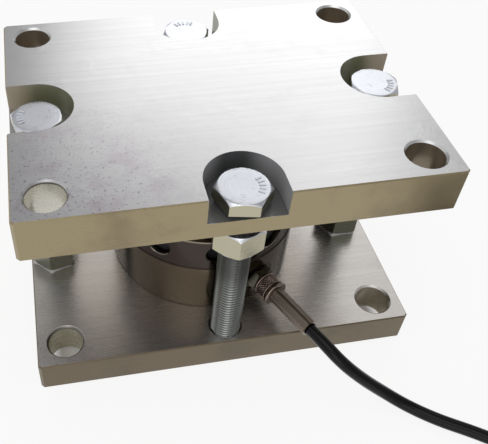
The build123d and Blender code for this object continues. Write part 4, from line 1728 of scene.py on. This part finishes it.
@dataclass
class SignalCable:
    """Cable on its route from the gland to the coil, in metres."""

    palette: Palette
    diameter: float = 0.0065
    gland_azimuth: float = 24.3
    gland_height: float = 0.035
    start: float = 0.054
    leaves_at: float = 0.0665
    drop_start: float = 0.101
    coil_mean_radius: float = 0.037
    columns: int = 4
    rows: int = 3
    points_per_turn: int = 16
    tail_turn: float = 78.0
    shift_share: float = 0.25
    facets: int = 5
    steps: int = 6
    route: tuple[tuple[float, float, float], ...] = (
        (0.0493, -0.1021, 0.0291),
        (0.0605, -0.1075, 0.0192),
        (0.0734, -0.1117, 0.0090),
        (0.0846, -0.1180, 0.0033),
        (0.0970, -0.1280, 0.0033),
        (0.1120, -0.1370, 0.0033),
        (0.1275, -0.1480, 0.0033),
        (0.1440, -0.1615, 0.0043),
        (0.1600, -0.1765, 0.0043),
    )

    def coil_points(self, start: Vector, arrival: Vector) -> list[Vector]:
        """Turns of the coil, row by row, from the outer bottom turn.

        Args:
            start: Point where the coil begins.
            arrival: Direction in which the cable arrives there.

        Returns:
            The coil's points after its start.
        """
        outer = self.coil_mean_radius + (self.columns - 1) / 2 * self.diameter
        left = Vector((-arrival.y, arrival.x, 0.0)).normalized()
        center = start + left * outer
        first_angle = math.atan2(-left.y, -left.x)
        slots = []
        for row in range(self.rows):
            columns = range(self.columns) if row % 2 == 0 else reversed(range(self.columns))
            slots += [(column, row) for column in columns]
        turns = len(slots) - self.tail_turn / 360
        points = []
        for step in range(1, int(turns * self.points_per_turn) + 1):
            done = step / self.points_per_turn
            here = min(int(done), len(slots) - 1)
            after = min(here + 1, len(slots) - 1)
            shift = max(0.0, (done - here - 1) / self.shift_share + 1)
            column = slots[here][0] + (slots[after][0] - slots[here][0]) * shift
            row = slots[here][1] + (slots[after][1] - slots[here][1]) * shift
            angle = first_angle + done * FULL_TURN
            radius = outer - column * self.diameter
            lift = start.z + row * self.diameter
            points.append(
                Vector((center.x + radius * math.cos(angle), center.y + radius * math.sin(angle), lift))
            )
        return points

    def build(self) -> bpy.types.Object:
        """Makes the cable as one smooth line.

        Returns:
            The cable's piece.
        """
        places = (self.start, self.drop_start)
        points = [polar(place, self.gland_azimuth, self.gland_height) for place in places]
        points += [Vector(point) for point in self.route]
        points += self.coil_points(points[-1], points[-1] - points[-2])
        curve = bpy.data.curves.new("signal_cable", "CURVE")
        curve.dimensions = "3D"
        curve.bevel_depth = self.diameter / 2
        curve.bevel_resolution = self.facets
        curve.resolution_u = self.steps
        curve.use_fill_caps = True
        line = curve.splines.new("NURBS")
        line.points.add(len(points) - 1)
        for knot, point in zip(line.points, points):
            knot.co = (*point, 1.0)
        line.order_u = 3
        line.use_endpoint_u = True
        curve.materials.append(self.palette.made[Finish.JACKET])
        piece = seat(new_object("signal_cable", curve), "base", "cable_jacket", "cable", "cable_coil")
        polar(self.leaves_at, self.gland_azimuth, self.gland_height)
        return piece


def main() -> None:
    """Builds the camera, the studio and every piece in order."""
    logging.basicConfig(level=logging.INFO, format="%(name)s: %(message)s")
    PhotoCamera().build()
    Studio().build()
    palette = Palette()
    SignalCable(palette).build()
    palette.dress()
    barrels = ridged_barrel_tree()
    Fasteners(palette, barrels).build()
    CableGland(palette, barrels).build()


if __name__ == "__main__":
    main()
